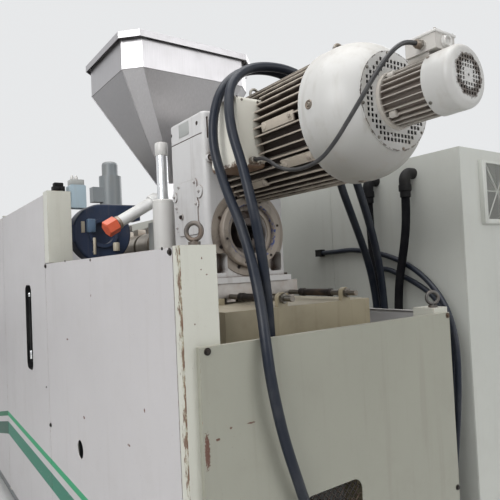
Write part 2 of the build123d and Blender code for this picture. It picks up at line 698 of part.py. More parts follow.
# Sole plate of the extruder, which slides on the guideways
SOLE_X = (BED_X[0], SOLE_REAR)
with BuildPart() as sole_plate:
    block(SOLE_X, (SOLE_LEFT, SOLE_RIGHT), (WAY_TOP + SEAT_GAP, SOLE_TOP))
    for spindle_y in SPINDLE_YS:
        block(
            (SOLE_REAR - 60.0, SOLE_REAR),
            (spindle_y - 2 * SPINDLE_RADIUS, spindle_y + 2 * SPINDLE_RADIUS),
            (SPINDLE_Z - 2 * SPINDLE_RADIUS, SOLE_TOP),
        )
        round_bar(
            (SOLE_REAR, spindle_y, SPINDLE_Z),
            (-1, 0, 0),
            SPINDLE_RADIUS + RUN_GAP,
            SOLE_REAR - SPINDLE_FRONT + 2 * EXTRUDER_TRAVEL,
            Mode.SUBTRACT,
        )
    fillet(sole_plate.edges().filter_by(Axis.Z).group_by(Axis.X)[0], 15.0)
sole_plate.part.label = "sole_plate"
export_step(sole_plate.part, "parts/sole_plate.step")

# Gearbox housing: cast box with rounded top, foot flange, pockets and a lobed side cover
GEARBOX_X = (GEARBOX_REAR - GEARBOX_DEPTH, GEARBOX_REAR)
GEARBOX_Y = (AXIS_Y - 3.0 - GEARBOX_WIDTH / 2, AXIS_Y - 3.0 + GEARBOX_WIDTH / 2)
GEARBOX_Z = (SOLE_TOP, GEARBOX_TOP)
GEARBOX_CORNER = 26.0
POCKET_CORNER = 12.0
GEARBOX_HEAD = 12.0
GEARBOX_FOOT = 24.0
COVER_LIFT = 5.0
COVER_TOP = 1983.0
COVER_HALF = 88.0
COVER_PLACE = GEARBOX_REAR - 153.0
COVER_EARS = [
    (-71.0, 1968.0, 16.0), (70.0, 1969.0, 18.0), (105.0, 1927.0, 26.0), (-115.0, 1930.0, 22.0),
    (79.0, 1878.0, 18.0), (-96.0, 1878.0, 16.0), (79.0, 1790.0, 18.0), (-96.0, 1790.0, 16.0),
]
CAP_SEAM_Z = 2165.0           # joint of the housing's top cover
CAP_SCREW_Z = 2214.0
SLIT_Y = GEARBOX_Y[0] + 22.0
SLIT_Z = (2143.0, 2232.0)
PLUG_Z = 2059.0
POCKET_SIZE = (63.0, 82.0)
POCKET_INSET = 59.0
POCKET_Z = 1625.0
POCKET_DEPTH = 60.0
POCKET_YS = (GEARBOX_Y[0] + POCKET_INSET, GEARBOX_Y[1] - POCKET_INSET)
with BuildPart() as gearbox_housing:
    block(GEARBOX_X, GEARBOX_Y, GEARBOX_Z)
    fillet(gearbox_housing.edges().filter_by(Axis.Z), GEARBOX_CORNER)
    top_face = gearbox_housing.faces().sort_by(Axis.Z)[-1]
    fillet(top_face.edges(), GEARBOX_HEAD)
    block(
        (GEARBOX_X[0], GEARBOX_X[1] + 12.0),
        (GEARBOX_Y[0] - 16.0, GEARBOX_Y[1] + 16.0),
        (SOLE_TOP, SOLE_TOP + GEARBOX_FOOT),
    )
    for pocket_y in POCKET_YS:
        with BuildSketch(rear_plane((pocket_y, pocket_y), (POCKET_Z, POCKET_Z), GEARBOX_REAR)):
            RectangleRounded(*POCKET_SIZE, POCKET_CORNER)
        extrude(amount=-POCKET_DEPTH, mode=Mode.SUBTRACT)
    cover_face = Plane(origin=(COVER_PLACE, GEARBOX_Y[0], 0), x_dir=(1, 0, 0), z_dir=(0, -1, 0))
    with BuildSketch(cover_face):
        with Locations((0, (COVER_TOP + OUTPUT_Z) / 2)):
            RectangleRounded(2 * COVER_HALF, COVER_TOP - OUTPUT_Z, GEARBOX_CORNER / 2)
        for ear_x, ear_z, ear in COVER_EARS:
            with Locations((ear_x, ear_z)):
                Circle(ear)
    extrude(amount=COVER_LIFT)
    block(
        (GEARBOX_X[0] + 15.0, GEARBOX_X[1] - 15.0),
        (GEARBOX_Y[0], GEARBOX_Y[0] + COVER_LIFT),
        (CAP_SEAM_Z - 2.0, CAP_SEAM_Z + 2.0),
        Mode.SUBTRACT,
    )
    for screw_x in (GEARBOX_X[0] + 19.0, GEARBOX_X[1] - 50.0):
        cap_screw = (screw_x, GEARBOX_Y[0], CAP_SCREW_Z)
        round_bar(cap_screw, (0, 1, 0), BOLT_RADIUS, 2 * COVER_LIFT, Mode.SUBTRACT)
    block(
        (GEARBOX_REAR - 2 * COVER_LIFT, GEARBOX_REAR),
        (SLIT_Y - 3.5, SLIT_Y + 3.5),
        SLIT_Z,
        Mode.SUBTRACT,
    )
    boss = (GEARBOX_REAR - 202.0, GEARBOX_Y[0], 1835.0)
    round_bar(boss, (0, -1, 0), 1.4 * BOLT_RADIUS, 2 * COVER_LIFT)
    plug = (GEARBOX_REAR - GEARBOX_CORNER / 2, SLIT_Y + 4.0, PLUG_Z)
    round_bar(plug, (1, 0, 0), 17.0, GEARBOX_CORNER / 2 + COVER_LIFT)
    shaft_start = (GEARBOX_X[0], AXIS_Y, OUTPUT_Z)
    round_bar(
        shaft_start, (1, 0, 0), SHAFT_RADIUS + RUN_GAP, GEARBOX_DEPTH, Mode.SUBTRACT
    )
    round_bar(
        (GEARBOX_REAR, AXIS_Y, OUTPUT_Z), (-1, 0, 0), FLANGE_BORE, POCKET_DEPTH, Mode.SUBTRACT
    )
gearbox_housing.part.label = "gearbox_housing"
export_step(gearbox_housing.part, "parts/gearbox_housing.step")

# Output flange: ring with a raised collar and eight cap screws
FLANGE_FACE = Plane(origin=(GEARBOX_REAR, AXIS_Y, OUTPUT_Z), x_dir=(0, 1, 0), z_dir=(1, 0, 0))
with BuildPart() as gearbox_flange:
    with BuildSketch(FLANGE_FACE):
        Circle(FLANGE_RADIUS)
        Circle(FLANGE_BORE, mode=Mode.SUBTRACT)
    extrude(amount=FLANGE_LIFT)
    with BuildSketch(FLANGE_FACE.offset(FLANGE_LIFT)):
        Circle(FLANGE_RAISED)
        Circle(FLANGE_BORE, mode=Mode.SUBTRACT)
    extrude(amount=FLANGE_STEP - FLANGE_LIFT)
    with BuildSketch(FLANGE_FACE.offset(FLANGE_STEP)):
        Circle(FLANGE_RAISED)
        Circle(FLANGE_MOUTH, mode=Mode.SUBTRACT)
    extrude(amount=FLANGE_REACH - FLANGE_STEP)
    with BuildSketch(FLANGE_FACE):
        with PolarLocations(FLANGE_PCD / 2, FLANGE_BOLTS, start_angle=180.0 / FLANGE_BOLTS):
            Circle(FLANGE_SCREW)
        for pocket_y in POCKET_YS:
            with Locations((pocket_y - AXIS_Y, POCKET_Z - OUTPUT_Z)):
                RectangleRounded(*POCKET_SIZE, POCKET_CORNER)
    extrude(amount=FLANGE_LIFT, mode=Mode.SUBTRACT)
    collar = gearbox_flange.faces().sort_by(Axis.X)[-1]
    chamfer(collar.edges(), 4.0)
gearbox_flange.part.label = "gearbox_flange"
export_step(gearbox_flange.part, "parts/gearbox_flange.step")

# Splined hollow shaft that turns the screw
SPLINE_DEPTH = 7.0
SPLINE_WIDTH = 6.0
SHAFT_BORE = SCREW_RADIUS + SPLINE_DEPTH
SHAFT_LENGTH = GEARBOX_DEPTH + 6.0
with BuildPart() as hollow_shaft:
    with BuildSketch(FLANGE_FACE.offset(-GEARBOX_DEPTH)):
        Circle(SHAFT_RADIUS)
        Circle(SHAFT_BORE, mode=Mode.SUBTRACT)
    extrude(amount=SHAFT_LENGTH)
    with BuildSketch(FLANGE_FACE.offset(6.0)):
        with PolarLocations(SHAFT_BORE, SPLINE_TEETH):
            Rectangle(2 * SPLINE_DEPTH, SPLINE_WIDTH)
        Circle(SHAFT_BORE - SPLINE_DEPTH, mode=Mode.SUBTRACT)
        Circle(SHAFT_RADIUS, mode=Mode.INTERSECT)
    extrude(amount=-0.45 * SHAFT_LENGTH)
hollow_shaft.part.label = "hollow_shaft"
export_step(hollow_shaft.part, "parts/hollow_shaft.step")

# Extruder screw inside the barrel, with its tail in the hollow shaft
HEAD_X = CLAMP_X
HEAD_NECK = 40.0
BARREL_END = HEAD_X + HEAD_RADIUS + HEAD_NECK
SCREW_TAIL = GEARBOX_REAR - 0.5 * SHAFT_LENGTH
SCREW_TIP = BARREL_END + 60.0
SCREW_GAP = 0.08
with BuildPart() as extruder_screw:
    round_bar(
        (SCREW_TIP + SCREW_RADIUS, AXIS_Y, OUTPUT_Z),
        (1, 0, 0),
        SCREW_RADIUS,
        SCREW_TAIL - SCREW_TIP - SCREW_RADIUS,
    )
    with BuildSketch(Plane(origin=(0, AXIS_Y, OUTPUT_Z), x_dir=(1, 0, 0), z_dir=(0, -1, 0))):
        with BuildLine():
            Polyline(
                (SCREW_TIP, 0),
                (SCREW_TIP + SCREW_RADIUS, 0),
                (SCREW_TIP + SCREW_RADIUS, SCREW_RADIUS),
                close=True,
            )
        make_face()
    revolve(axis=Axis((0, AXIS_Y, OUTPUT_Z), (1, 0, 0)))
extruder_screw.part.label = "extruder_screw"
export_step(extruder_screw.part, "parts/extruder_screw.step")

# Barrel with its mounting flange against the gearbox
BARREL_REAR = GEARBOX_X[0]
BARREL_FLANGE = 105.0
FEED_PORT = 24.0
with BuildPart() as barrel:
    round_bar(
        (BARREL_REAR, AXIS_Y, OUTPUT_Z), (-1, 0, 0), BARREL_RADIUS, BARREL_REAR - BARREL_END
    )
    round_bar((BARREL_REAR, AXIS_Y, OUTPUT_Z), (-1, 0, 0), BARREL_FLANGE, FLANGE_THICK)
    bore = (BARREL_REAR, AXIS_Y, OUTPUT_Z)
    bore_length = BARREL_REAR - BARREL_END
    round_bar(bore, (-1, 0, 0), SCREW_RADIUS + SCREW_GAP, bore_length, Mode.SUBTRACT)
    port = (HOPPER_X, AXIS_Y, OUTPUT_Z)
    round_bar(port, (0, 0, 1), FEED_PORT, BARREL_RADIUS, Mode.SUBTRACT)
barrel.part.label = "barrel"
export_step(barrel.part, "parts/barrel.step")

# Heater bands round the barrel, each with a terminal block
BAND_FIT = 0.2
with BuildPart() as heater_bands:
    for band_x in BAND_XS:
        band = (band_x, AXIS_Y, OUTPUT_Z)
        round_bar(band, (-1, 0, 0), BARREL_RADIUS + BAND_THICK, BAND_LENGTH)
        block(
            (band_x - 0.7 * BAND_LENGTH, band_x - 0.3 * BAND_LENGTH),
            (AXIS_Y - 25.0, AXIS_Y + 25.0),
            (OUTPUT_Z + BARREL_RADIUS, OUTPUT_Z + BARREL_RADIUS + 3 * BAND_THICK),
        )
        round_bar(band, (-1, 0, 0), BARREL_RADIUS + BAND_FIT, BAND_LENGTH, Mode.SUBTRACT)
heater_bands.part.label = "heater_bands"
export_step(heater_bands.part, "parts/heater_bands.step")

# Feed throat: a saddle round the barrel that stands on the sole plate and holds the hopper
THROAT_HALF = 92.0
THROAT_NECK = 84.0
THROAT_FLANGE = 92.0
THROAT_BORE = 40.0
THROAT_TOP = OUTPUT_Z + BARREL_RADIUS + 50.0
with BuildPart() as feed_throat:
    throat_x = (HOPPER_X - THROAT_HALF, HOPPER_X + THROAT_HALF)
    block(throat_x, (AXIS_Y - 120.0, AXIS_Y + 120.0), (SOLE_TOP, THROAT_TOP))
    fillet(feed_throat.edges().filter_by(Axis.Z), 20.0)
    neck = (HOPPER_X, AXIS_Y, THROAT_TOP)
    round_bar(neck, (0, 0, 1), THROAT_NECK, NECK_BOTTOM - THROAT_TOP)
    round_bar((HOPPER_X, AXIS_Y, NECK_BOTTOM), (0, 0, -1), THROAT_FLANGE, FLANGE_THICK)
    round_bar(
        (throat_x[1], AXIS_Y, OUTPUT_Z),
        (-1, 0, 0),
        BARREL_RADIUS + BAND_FIT,
        2 * THROAT_HALF,
        Mode.SUBTRACT,
    )
    round_bar(port, (0, 0, 1), THROAT_BORE, NECK_BOTTOM - OUTPUT_Z, Mode.SUBTRACT)
feed_throat.part.label = "feed_throat"
export_step(feed_throat.part, "parts/feed_throat.step")

# Die head: a turned body with its die ring, hung on the end of the barrel
DIE_RING = 62.0
DIE_GAP_OUTER = 26.0
DIE_GAP_INNER = 21.0
DIE_GAP_DEPTH = 25.0
with BuildPart() as die_head:
    with BuildSketch(Plane(origin=(HEAD_X, AXIS_Y, 0), x_dir=(1, 0, 0), z_dir=(0, -1, 0))):
        with BuildLine():
            Polyline(
                (0, DIE_BOTTOM),
                (0.75 * DIE_RING, DIE_BOTTOM),
                (DIE_RING, DIE_BOTTOM + 14.0),
                (DIE_RING, DIE_BOTTOM + 70.0),
                (HEAD_RADIUS + 22.0, DIE_BOTTOM + 70.0),
                (HEAD_RADIUS + 22.0, DIE_BOTTOM + 100.0),
                (HEAD_RADIUS, DIE_BOTTOM + 130.0),
                (HEAD_RADIUS, HEAD_TOP - 140.0),
                (HEAD_RADIUS + 25.0, HEAD_TOP - 140.0),
                (HEAD_RADIUS + 25.0, HEAD_TOP - 105.0),
                (0.6 * HEAD_RADIUS, HEAD_TOP - 105.0),
                (0.6 * HEAD_RADIUS, HEAD_TOP),
                (0, HEAD_TOP),
                close=True,
            )
        make_face()
    revolve(axis=Axis((HEAD_X, AXIS_Y, 0), (0, 0, 1)))
    round_bar((HEAD_X, AXIS_Y, OUTPUT_Z), (1, 0, 0), BARREL_RADIUS + 24.0, BARREL_END - HEAD_X)
    with BuildSketch(Plane(origin=(HEAD_X, AXIS_Y, DIE_BOTTOM))):
        Circle(DIE_GAP_OUTER)
        Circle(DIE_GAP_INNER, mode=Mode.SUBTRACT)
    extrude(amount=DIE_GAP_DEPTH, mode=Mode.SUBTRACT)
die_head.part.label = "die_head"
export_step(die_head.part, "parts/die_head.step")

# Parison cylinder on top of the die head, with its pale end cap
VALVE_WIDTH = 70.0
VALVE_REACH = 60.0
VALVE_HEIGHT = 100.0
with BuildPart() as parison_cylinder:
    foot = (HEAD_X, AXIS_Y, HEAD_TOP)
    round_bar(foot, (0, 0, 1), PARISON_RADIUS, PARISON_TOP - HEAD_TOP)
    cap_height = PARISON_CAP_TOP - PARISON_TOP
    round_bar(
        (HEAD_X, AXIS_Y, PARISON_TOP), (0, 0, 1), 0.72 * PARISON_RADIUS, cap_height
    )
    fillet(parison_cylinder.edges().group_by(Axis.Z)[-1], 24.0)
    valve_y = AXIS_Y - PARISON_RADIUS
    block(
        (HEAD_X - VALVE_WIDTH / 2, HEAD_X + VALVE_WIDTH / 2),
        (valve_y - VALVE_REACH, valve_y + 20.0),
        (HEAD_TOP + 60.0, HEAD_TOP + 60.0 + VALVE_HEIGHT),
    )
parison_cylinder.part.label = "parison_cylinder"
export_step(parison_cylinder.part, "parts/parison_cylinder.step")


def chamfered_box_outline(plane, length, width, corner):
    """Face of a rectangle with cut corners on a plane."""
    with BuildSketch(plane) as outline:
        Rectangle(length, width)
        chamfer(outline.vertices(), corner)
    return outline.sketch


# Hopper: eight-sided bin with a tapered base and an outlet neck
HOPPER_TOP_PLANE = Plane(origin=(HOPPER_X, AXIS_Y, HOPPER_RIM))
KNEE_PLANE = Plane(origin=(HOPPER_X, AXIS_Y, HOPPER_KNEE))
NECK_PLANE = Plane(origin=(HOPPER_X, AXIS_Y, NECK_TOP))
LID_HINGE_Y = AXIS_Y + HOPPER_WIDTH / 2 + LID_OVERHANG + 10.0
LID_HINGE_Z = 2700.0
HINGE_XS = (HOPPER_X - 180.0, HOPPER_X + 180.0)
NECK_SIDE_Y = AXIS_Y - NECK_SIZE / 2
SLOPE = radians(PIPE_SLOPE)
PIPE_DIRECTION = (0, cos(SLOPE), sin(SLOPE))
PIPE_LENGTH = (NECK_SIDE_Y - PIPE_END_Y) / cos(SLOPE)
PIPE_END = (HOPPER_X, PIPE_END_Y, PIPE_END_Z)


def hopper_form(thickness, mode):
    """Add or cut the hopper's form, smaller all round by a wall thickness."""
    grow = 2 * thickness
    top = chamfered_box_outline(
        HOPPER_TOP_PLANE, HOPPER_LENGTH - grow, HOPPER_WIDTH - grow, HOPPER_CORNER
    )
    knee = chamfered_box_outline(
        KNEE_PLANE, HOPPER_LENGTH - grow, HOPPER_WIDTH - grow, HOPPER_CORNER
    )
    neck = chamfered_box_outline(NECK_PLANE, NECK_SIZE - grow, NECK_SIZE - grow, NECK_CORNER)
    extrude(top, amount=HOPPER_KNEE - HOPPER_RIM, mode=mode)
    loft([knee, neck], mode=mode)
    extrude(neck, amount=NECK_BOTTOM - NECK_TOP, mode=mode)


with BuildPart() as hopper:
    hopper_form(0.0, Mode.ADD)
    hopper_form(HOPPER_WALL, Mode.SUBTRACT)
    neck_flange = Plane(origin=(HOPPER_X, AXIS_Y, NECK_BOTTOM))
    with BuildSketch(neck_flange):
        Circle(THROAT_FLANGE)
        Rectangle(NECK_SIZE - 2 * HOPPER_WALL, NECK_SIZE - 2 * HOPPER_WALL, mode=Mode.SUBTRACT)
    extrude(amount=8.0)
    round_bar(
        PIPE_END, PIPE_DIRECTION, PIPE_RADIUS - PIPE_WALL, PIPE_LENGTH + NECK_SIZE / 2, Mode.SUBTRACT
    )
    for hinge_x in HINGE_XS:
        block(
            (hinge_x - 8.0, hinge_x + 8.0),
            (AXIS_Y + HOPPER_WIDTH / 2 - HOPPER_WALL, LID_HINGE_Y + LID_PIN),
            (LID_HINGE_Z - 45.0, LID_HINGE_Z - LID_SKIRT + 12.0),
        )
        block(
            (hinge_x - 8.0, hinge_x + 8.0),
            (LID_HINGE_Y - LID_PIN, LID_HINGE_Y + LID_PIN),
            (LID_HINGE_Z - 45.0, LID_HINGE_Z),
        )
        round_bar((hinge_x - 8.0, LID_HINGE_Y, LID_HINGE_Z), (1, 0, 0), LID_PIN, 50.0)
hopper.part.label = "hopper"
export_step(hopper.part, "parts/hopper.step")

# Hopper lid: a shallow cap with two hinge ears that turn on the hopper's pins
LID_PLANE = Plane(origin=(HOPPER_X, AXIS_Y, LID_TOP))
with BuildPart() as hopper_lid:
    lid_length = HOPPER_LENGTH + 2 * LID_OVERHANG
    lid_width = HOPPER_WIDTH + 2 * LID_OVERHANG
    lid_outline = chamfered_box_outline(LID_PLANE, lid_length, lid_width, HOPPER_CORNER)
    extrude(lid_outline, amount=-LID_SKIRT)
    inner = chamfered_box_outline(
        LID_PLANE.offset(-HOPPER_WALL),
        lid_length - 2 * HOPPER_WALL,
        lid_width - 2 * HOPPER_WALL,
        HOPPER_CORNER,
    )
    extrude(inner, amount=-LID_SKIRT, mode=Mode.SUBTRACT)
    for hinge_x in HINGE_XS:
        ear_x = (hinge_x + 12.0, hinge_x + 34.0)
        block(
            ear_x,
            (AXIS_Y + lid_width / 2 - HOPPER_WALL, LID_HINGE_Y + 2 * LID_PIN),
            (LID_HINGE_Z - 2 * LID_PIN, LID_HINGE_Z + 2 * LID_PIN),
        )
        round_bar(
            (ear_x[0], LID_HINGE_Y, LID_HINGE_Z),
            (1, 0, 0),
            LID_PIN + RUN_GAP,
            ear_x[1] - ear_x[0],
            Mode.SUBTRACT,
        )
hopper_lid.part.label = "hopper_lid"
export_step(hopper_lid.part, "parts/hopper_lid.step")

# Drain pipe that slopes down from the hopper neck, and its hexagonal cap
with BuildPart() as drain_pipe:
    round_bar(PIPE_END, PIPE_DIRECTION, PIPE_RADIUS, PIPE_LENGTH + PIPE_RADIUS)
    round_bar(
        PIPE_END, PIPE_DIRECTION, PIPE_RADIUS - PIPE_WALL, PIPE_LENGTH + PIPE_RADIUS, Mode.SUBTRACT
    )
    block(
        (HOPPER_X - PIPE_RADIUS, HOPPER_X + PIPE_RADIUS),
        (NECK_SIDE_Y, NECK_SIDE_Y + 2 * PIPE_RADIUS),
        (NECK_BOTTOM - PIPE_RADIUS, NECK_TOP + 2 * PIPE_RADIUS),
        mode=Mode.SUBTRACT,
    )
drain_pipe.part.label = "drain_pipe"
export_step(drain_pipe.part, "parts/drain_pipe.step")

CAP_FLOOR = CAP_LENGTH - CAP_SOCKET
CAP_BASE = tuple(p - (CAP_FLOOR + SEAT_GAP) * d for p, d in zip(PIPE_END, PIPE_DIRECTION))
with BuildPart() as drain_cap:
    with BuildSketch(Plane(origin=CAP_BASE, x_dir=(1, 0, 0), z_dir=PIPE_DIRECTION)):
        RegularPolygon(CAP_FLATS / 2, 6, major_radius=False, rotation=30.0)
    extrude(amount=CAP_LENGTH)
    chamfer(drain_cap.edges().group_by(Axis(CAP_BASE, PIPE_DIRECTION))[0], 4.0)
    socket = Plane(origin=CAP_BASE, z_dir=PIPE_DIRECTION).offset(CAP_FLOOR)
    with BuildSketch(socket):
        Circle(PIPE_RADIUS + RUN_GAP)
    extrude(amount=CAP_LENGTH, mode=Mode.SUBTRACT)
drain_cap.part.label = "drain_cap"
export_step(drain_cap.part, "parts/drain_cap.step")

# Lift column beside the gearbox: cylinder, chromed ram and its cap
COLUMN = (COLUMN_X, COLUMN_Y)
with BuildPart() as lift_tube:
    round_bar((*COLUMN, SOLE_TOP), (0, 0, 1), COLUMN_RADIUS, COLUMN_TOP - SOLE_TOP)
    chamfer(lift_tube.edges().group_by(Axis.Z)[-1], 5.0)
    round_bar(
        (*COLUMN, COLUMN_TOP),
        (0, 0, -1),
        RAM_ROD_RADIUS + RUN_GAP,
        COLUMN_TOP - SOLE_TOP - FLANGE_THICK,
        Mode.SUBTRACT,
    )
lift_tube.part.label = "lift_tube"
export_step(lift_tube.part, "parts/lift_tube.step")

with BuildPart() as lift_rod:
    round_bar((*COLUMN, ROD_TAIL), (0, 0, 1), RAM_ROD_RADIUS, ROD_TOP - ROD_TAIL)
    round_bar((*COLUMN, ROD_TOP), (0, 0, 1), 1.08 * RAM_ROD_RADIUS, ROD_CAP_TOP - ROD_TOP)
    fillet(lift_rod.edges().group_by(Axis.Z)[-1], 7.0)
lift_rod.part.label = "lift_rod"
export_step(lift_rod.part, "parts/lift_rod.step")


def x_disc(x_span, radius, z=MOTOR_Z, mode=Mode.ADD):
    """Add or cut a cylinder that runs along X between two limits in the extruder's plane."""
    round_bar((x_span[0], AXIS_Y, z), (1, 0, 0), radius, x_span[1] - x_span[0], mode)


def finned_barrel(x_span, root, tip, count, fin_thick):
    """Add a cylinder along X with straight fins all round."""
    with BuildSketch(Plane(origin=(x_span[0], AXIS_Y, MOTOR_Z), z_dir=(1, 0, 0))) as section:
        with PolarLocations((root + tip) / 2 - fin_thick, count):
            Rectangle(tip - root + 2 * fin_thick, fin_thick)
        Circle(root)
    extrude(section.sketch, amount=x_span[1] - x_span[0])


# Main motor: finned housing between two end bells, bolted to the gearbox
MOTOR_BELL = 30.0
MOTOR_BELL_RADIUS = 200.0
MOTOR_NECK_RADIUS = 140.0
LUG_WIDTH = 24.0
LUG_LENGTH = 20.0
BOX_NICHE = 3.0               # room round the terminal box in the fins
PAD_Z = (BOX_BOTTOM + 8.0, BOX_TOP - 8.0)
PAD_X = (BOX_FRONT + 8.0, BOX_REAR - 8.0)
COWL_INNER = COWL_RADIUS - SHEET
with BuildPart() as motor_housing:
    finned_barrel((FIN_FRONT, FIN_REAR), MOTOR_ROOT, MOTOR_TIP, FIN_COUNT, FIN_THICK)
    x_disc((FIN_FRONT - MOTOR_BELL, FIN_FRONT), MOTOR_BELL_RADIUS)
    x_disc((GEARBOX_REAR, FIN_FRONT), MOTOR_NECK_RADIUS)
    x_disc((FIN_REAR, FIN_REAR + LUG_LENGTH), MOTOR_ROOT - 20.0)
    block(
        (BOX_FRONT - BOX_NICHE, BOX_REAR + BOX_NICHE),
        (AXIS_Y - MOTOR_TIP - BOX_NICHE, BOX_SEAT),
        (BOX_BOTTOM - BOX_NICHE, BOX_TOP + BOX_NICHE),
        Mode.SUBTRACT,
    )
    block(PAD_X, (BOX_SEAT, AXIS_Y - MOTOR_ROOT / 2), PAD_Z)
    lug_place = Plane(origin=(FIN_REAR - LUG_LENGTH, AXIS_Y, MOTOR_Z), z_dir=(1, 0, 0))
    with BuildSketch(lug_place):
        with PolarLocations(MOTOR_ROOT, 4, start_angle=45.0):
            Rectangle(2 * (COWL_INNER - MOTOR_ROOT), LUG_WIDTH)
        Circle(COWL_INNER, mode=Mode.INTERSECT)
    extrude(amount=LUG_LENGTH)
motor_housing.part.label = "motor_housing"
export_step(motor_housing.part, "parts/motor_housing.step")

# Motor terminal box with its cable gland, and the lid with four screws
BOX_X = (BOX_FRONT, BOX_REAR)
BOX_Z = (BOX_BOTTOM, BOX_TOP)
LID_SEAT = BOX_LEFT + LID_THICK
GLAND_RADIUS = 12.0
FAN_CABLE_START = (BOX_REAR + 20.0, LEFT + 383.0, 1973.0)
with BuildPart() as terminal_box:
    block(BOX_X, (LID_SEAT, BOX_SEAT), BOX_Z)
    fillet(terminal_box.edges().filter_by(Axis.Y), 16.0)
    gland = (BOX_REAR, FAN_CABLE_START[1], FAN_CABLE_START[2])
    round_bar(gland, (1, 0, 0), GLAND_RADIUS, FAN_CABLE_START[0] - BOX_REAR)
terminal_box.part.label = "terminal_box"
export_step(terminal_box.part, "parts/terminal_box.step")

LID_SCREW = 6.0
with BuildPart() as terminal_box_lid:
    block(BOX_X, (BOX_LEFT, LID_SEAT), BOX_Z)
    fillet(terminal_box_lid.edges().filter_by(Axis.Y), 16.0)
    chamfer(terminal_box_lid.faces().sort_by(Axis.Y)[0].edges(), 2.5)
    with Locations(left_plane(BOX_X, BOX_Z, BOX_LEFT).location):
        with GridLocations(BOX_REAR - BOX_FRONT - 30.0, BOX_TOP - BOX_BOTTOM - 30.0, 2, 2):
            Cylinder(LID_SCREW, 3.0, align=(Align.CENTER, Align.CENTER, Align.MIN))
terminal_box_lid.part.label = "terminal_box_lid"
export_step(terminal_box_lid.part, "parts/terminal_box_lid.step")

# Sheet cowl behind the motor, drawn in to the mouth of the cooling fan
AXIS_PLANE = Plane(origin=(0, AXIS_Y, MOTOR_Z), x_dir=(1, 0, 0), z_dir=(0, -1, 0))
MOTOR_AXIS = Axis((0, AXIS_Y, MOTOR_Z), (1, 0, 0))
with BuildPart() as motor_cowl:
    with BuildSketch(AXIS_PLANE):
        with BuildLine():
            outer = Line((COWL_EDGE, COWL_RADIUS), (COWL_BEND, COWL_RADIUS))
            bend = TangentArc(outer @ 1, (COWL_END, COWL_MOUTH), tangent=outer % 1)
            inner_end = bend @ 1 - Vector(*(bend % 1).rotate(Axis.Z, 90)) * SHEET
            inner_start = (COWL_BEND, COWL_INNER)
            Line(bend @ 1, inner_end)
            inner_bend = TangentArc(inner_start, inner_end, tangent=(1, 0))
            inner_line = Line(inner_start, (COWL_EDGE, COWL_INNER))
            Line(inner_line @ 1, outer @ 0)
        make_face()
    revolve(axis=MOTOR_AXIS)
motor_cowl.part.label = "motor_cowl"
export_step(motor_cowl.part, "parts/motor_cowl.step")

# Perforated guard plate that closes the cowl and carries the fan's own motor
GRID_INNER = SMALL_COWL_RADIUS + 4.0
GRID_OUTER = COWL_MOUTH - 8.0
GRID_CELLS = round(2 * GRID_OUTER / GRID_PITCH)
GUARD_X = (COWL_END, COWL_END + GUARD_PLATE)


def in_grid(x, y):
    """Tell whether a square hole at a point stays between the guard's two rims."""
    half = GRID_HOLE / 2
    far = Vector(abs(x) + half, abs(y) + half).length
    near = Vector(max(abs(x) - half, 0), max(abs(y) - half, 0)).length
    return near > GRID_INNER and far < GRID_OUTER


with BuildPart() as fan_guard:
    x_disc(GUARD_X, COWL_MOUTH + SHEET)
    with BuildSketch(Plane(origin=(GUARD_X[0], AXIS_Y, MOTOR_Z), z_dir=(1, 0, 0))):
        steps = [GRID_PITCH * (cell - (GRID_CELLS - 1) / 2) for cell in range(GRID_CELLS)]
        holes = [(x, y) for x in steps for y in steps if in_grid(x, y)]
        with Locations(*holes):
            Rectangle(GRID_HOLE, GRID_HOLE)
        Circle(FAN_SHAFT + 2.0)
    extrude(amount=GUARD_PLATE, mode=Mode.SUBTRACT)
fan_guard.part.label = "fan_guard"
export_step(fan_guard.part, "parts/fan_guard.step")

# Cooling fan: radial blades on a hub, turned by the shaft of its own motor
FAN_X = (FIN_REAR + LUG_LENGTH + 8.0, COWL_BEND + 62.0)
FAN_HUB = 45.0
BLADE_THICK = 4.0
SHAFT_END = SMALL_FIN_END - 30.0
with BuildPart() as cooling_fan:
    x_disc(FAN_X, FAN_HUB)
    x_disc((FAN_X[0], FAN_X[0] + BLADE_THICK), FAN_RADIUS - 60.0)
    with BuildSketch(Plane(origin=(FAN_X[0], AXIS_Y, MOTOR_Z), z_dir=(1, 0, 0))):
        with PolarLocations((FAN_HUB + FAN_RADIUS) / 2 - 5.0, FAN_BLADES):
            Rectangle(FAN_RADIUS - FAN_HUB + 10.0, BLADE_THICK)
    extrude(amount=FAN_X[1] - FAN_X[0] - 5.0)
    x_disc((FAN_X[1], SHAFT_END), FAN_SHAFT)
cooling_fan.part.label = "cooling_fan"
export_step(cooling_fan.part, "parts/cooling_fan.step")

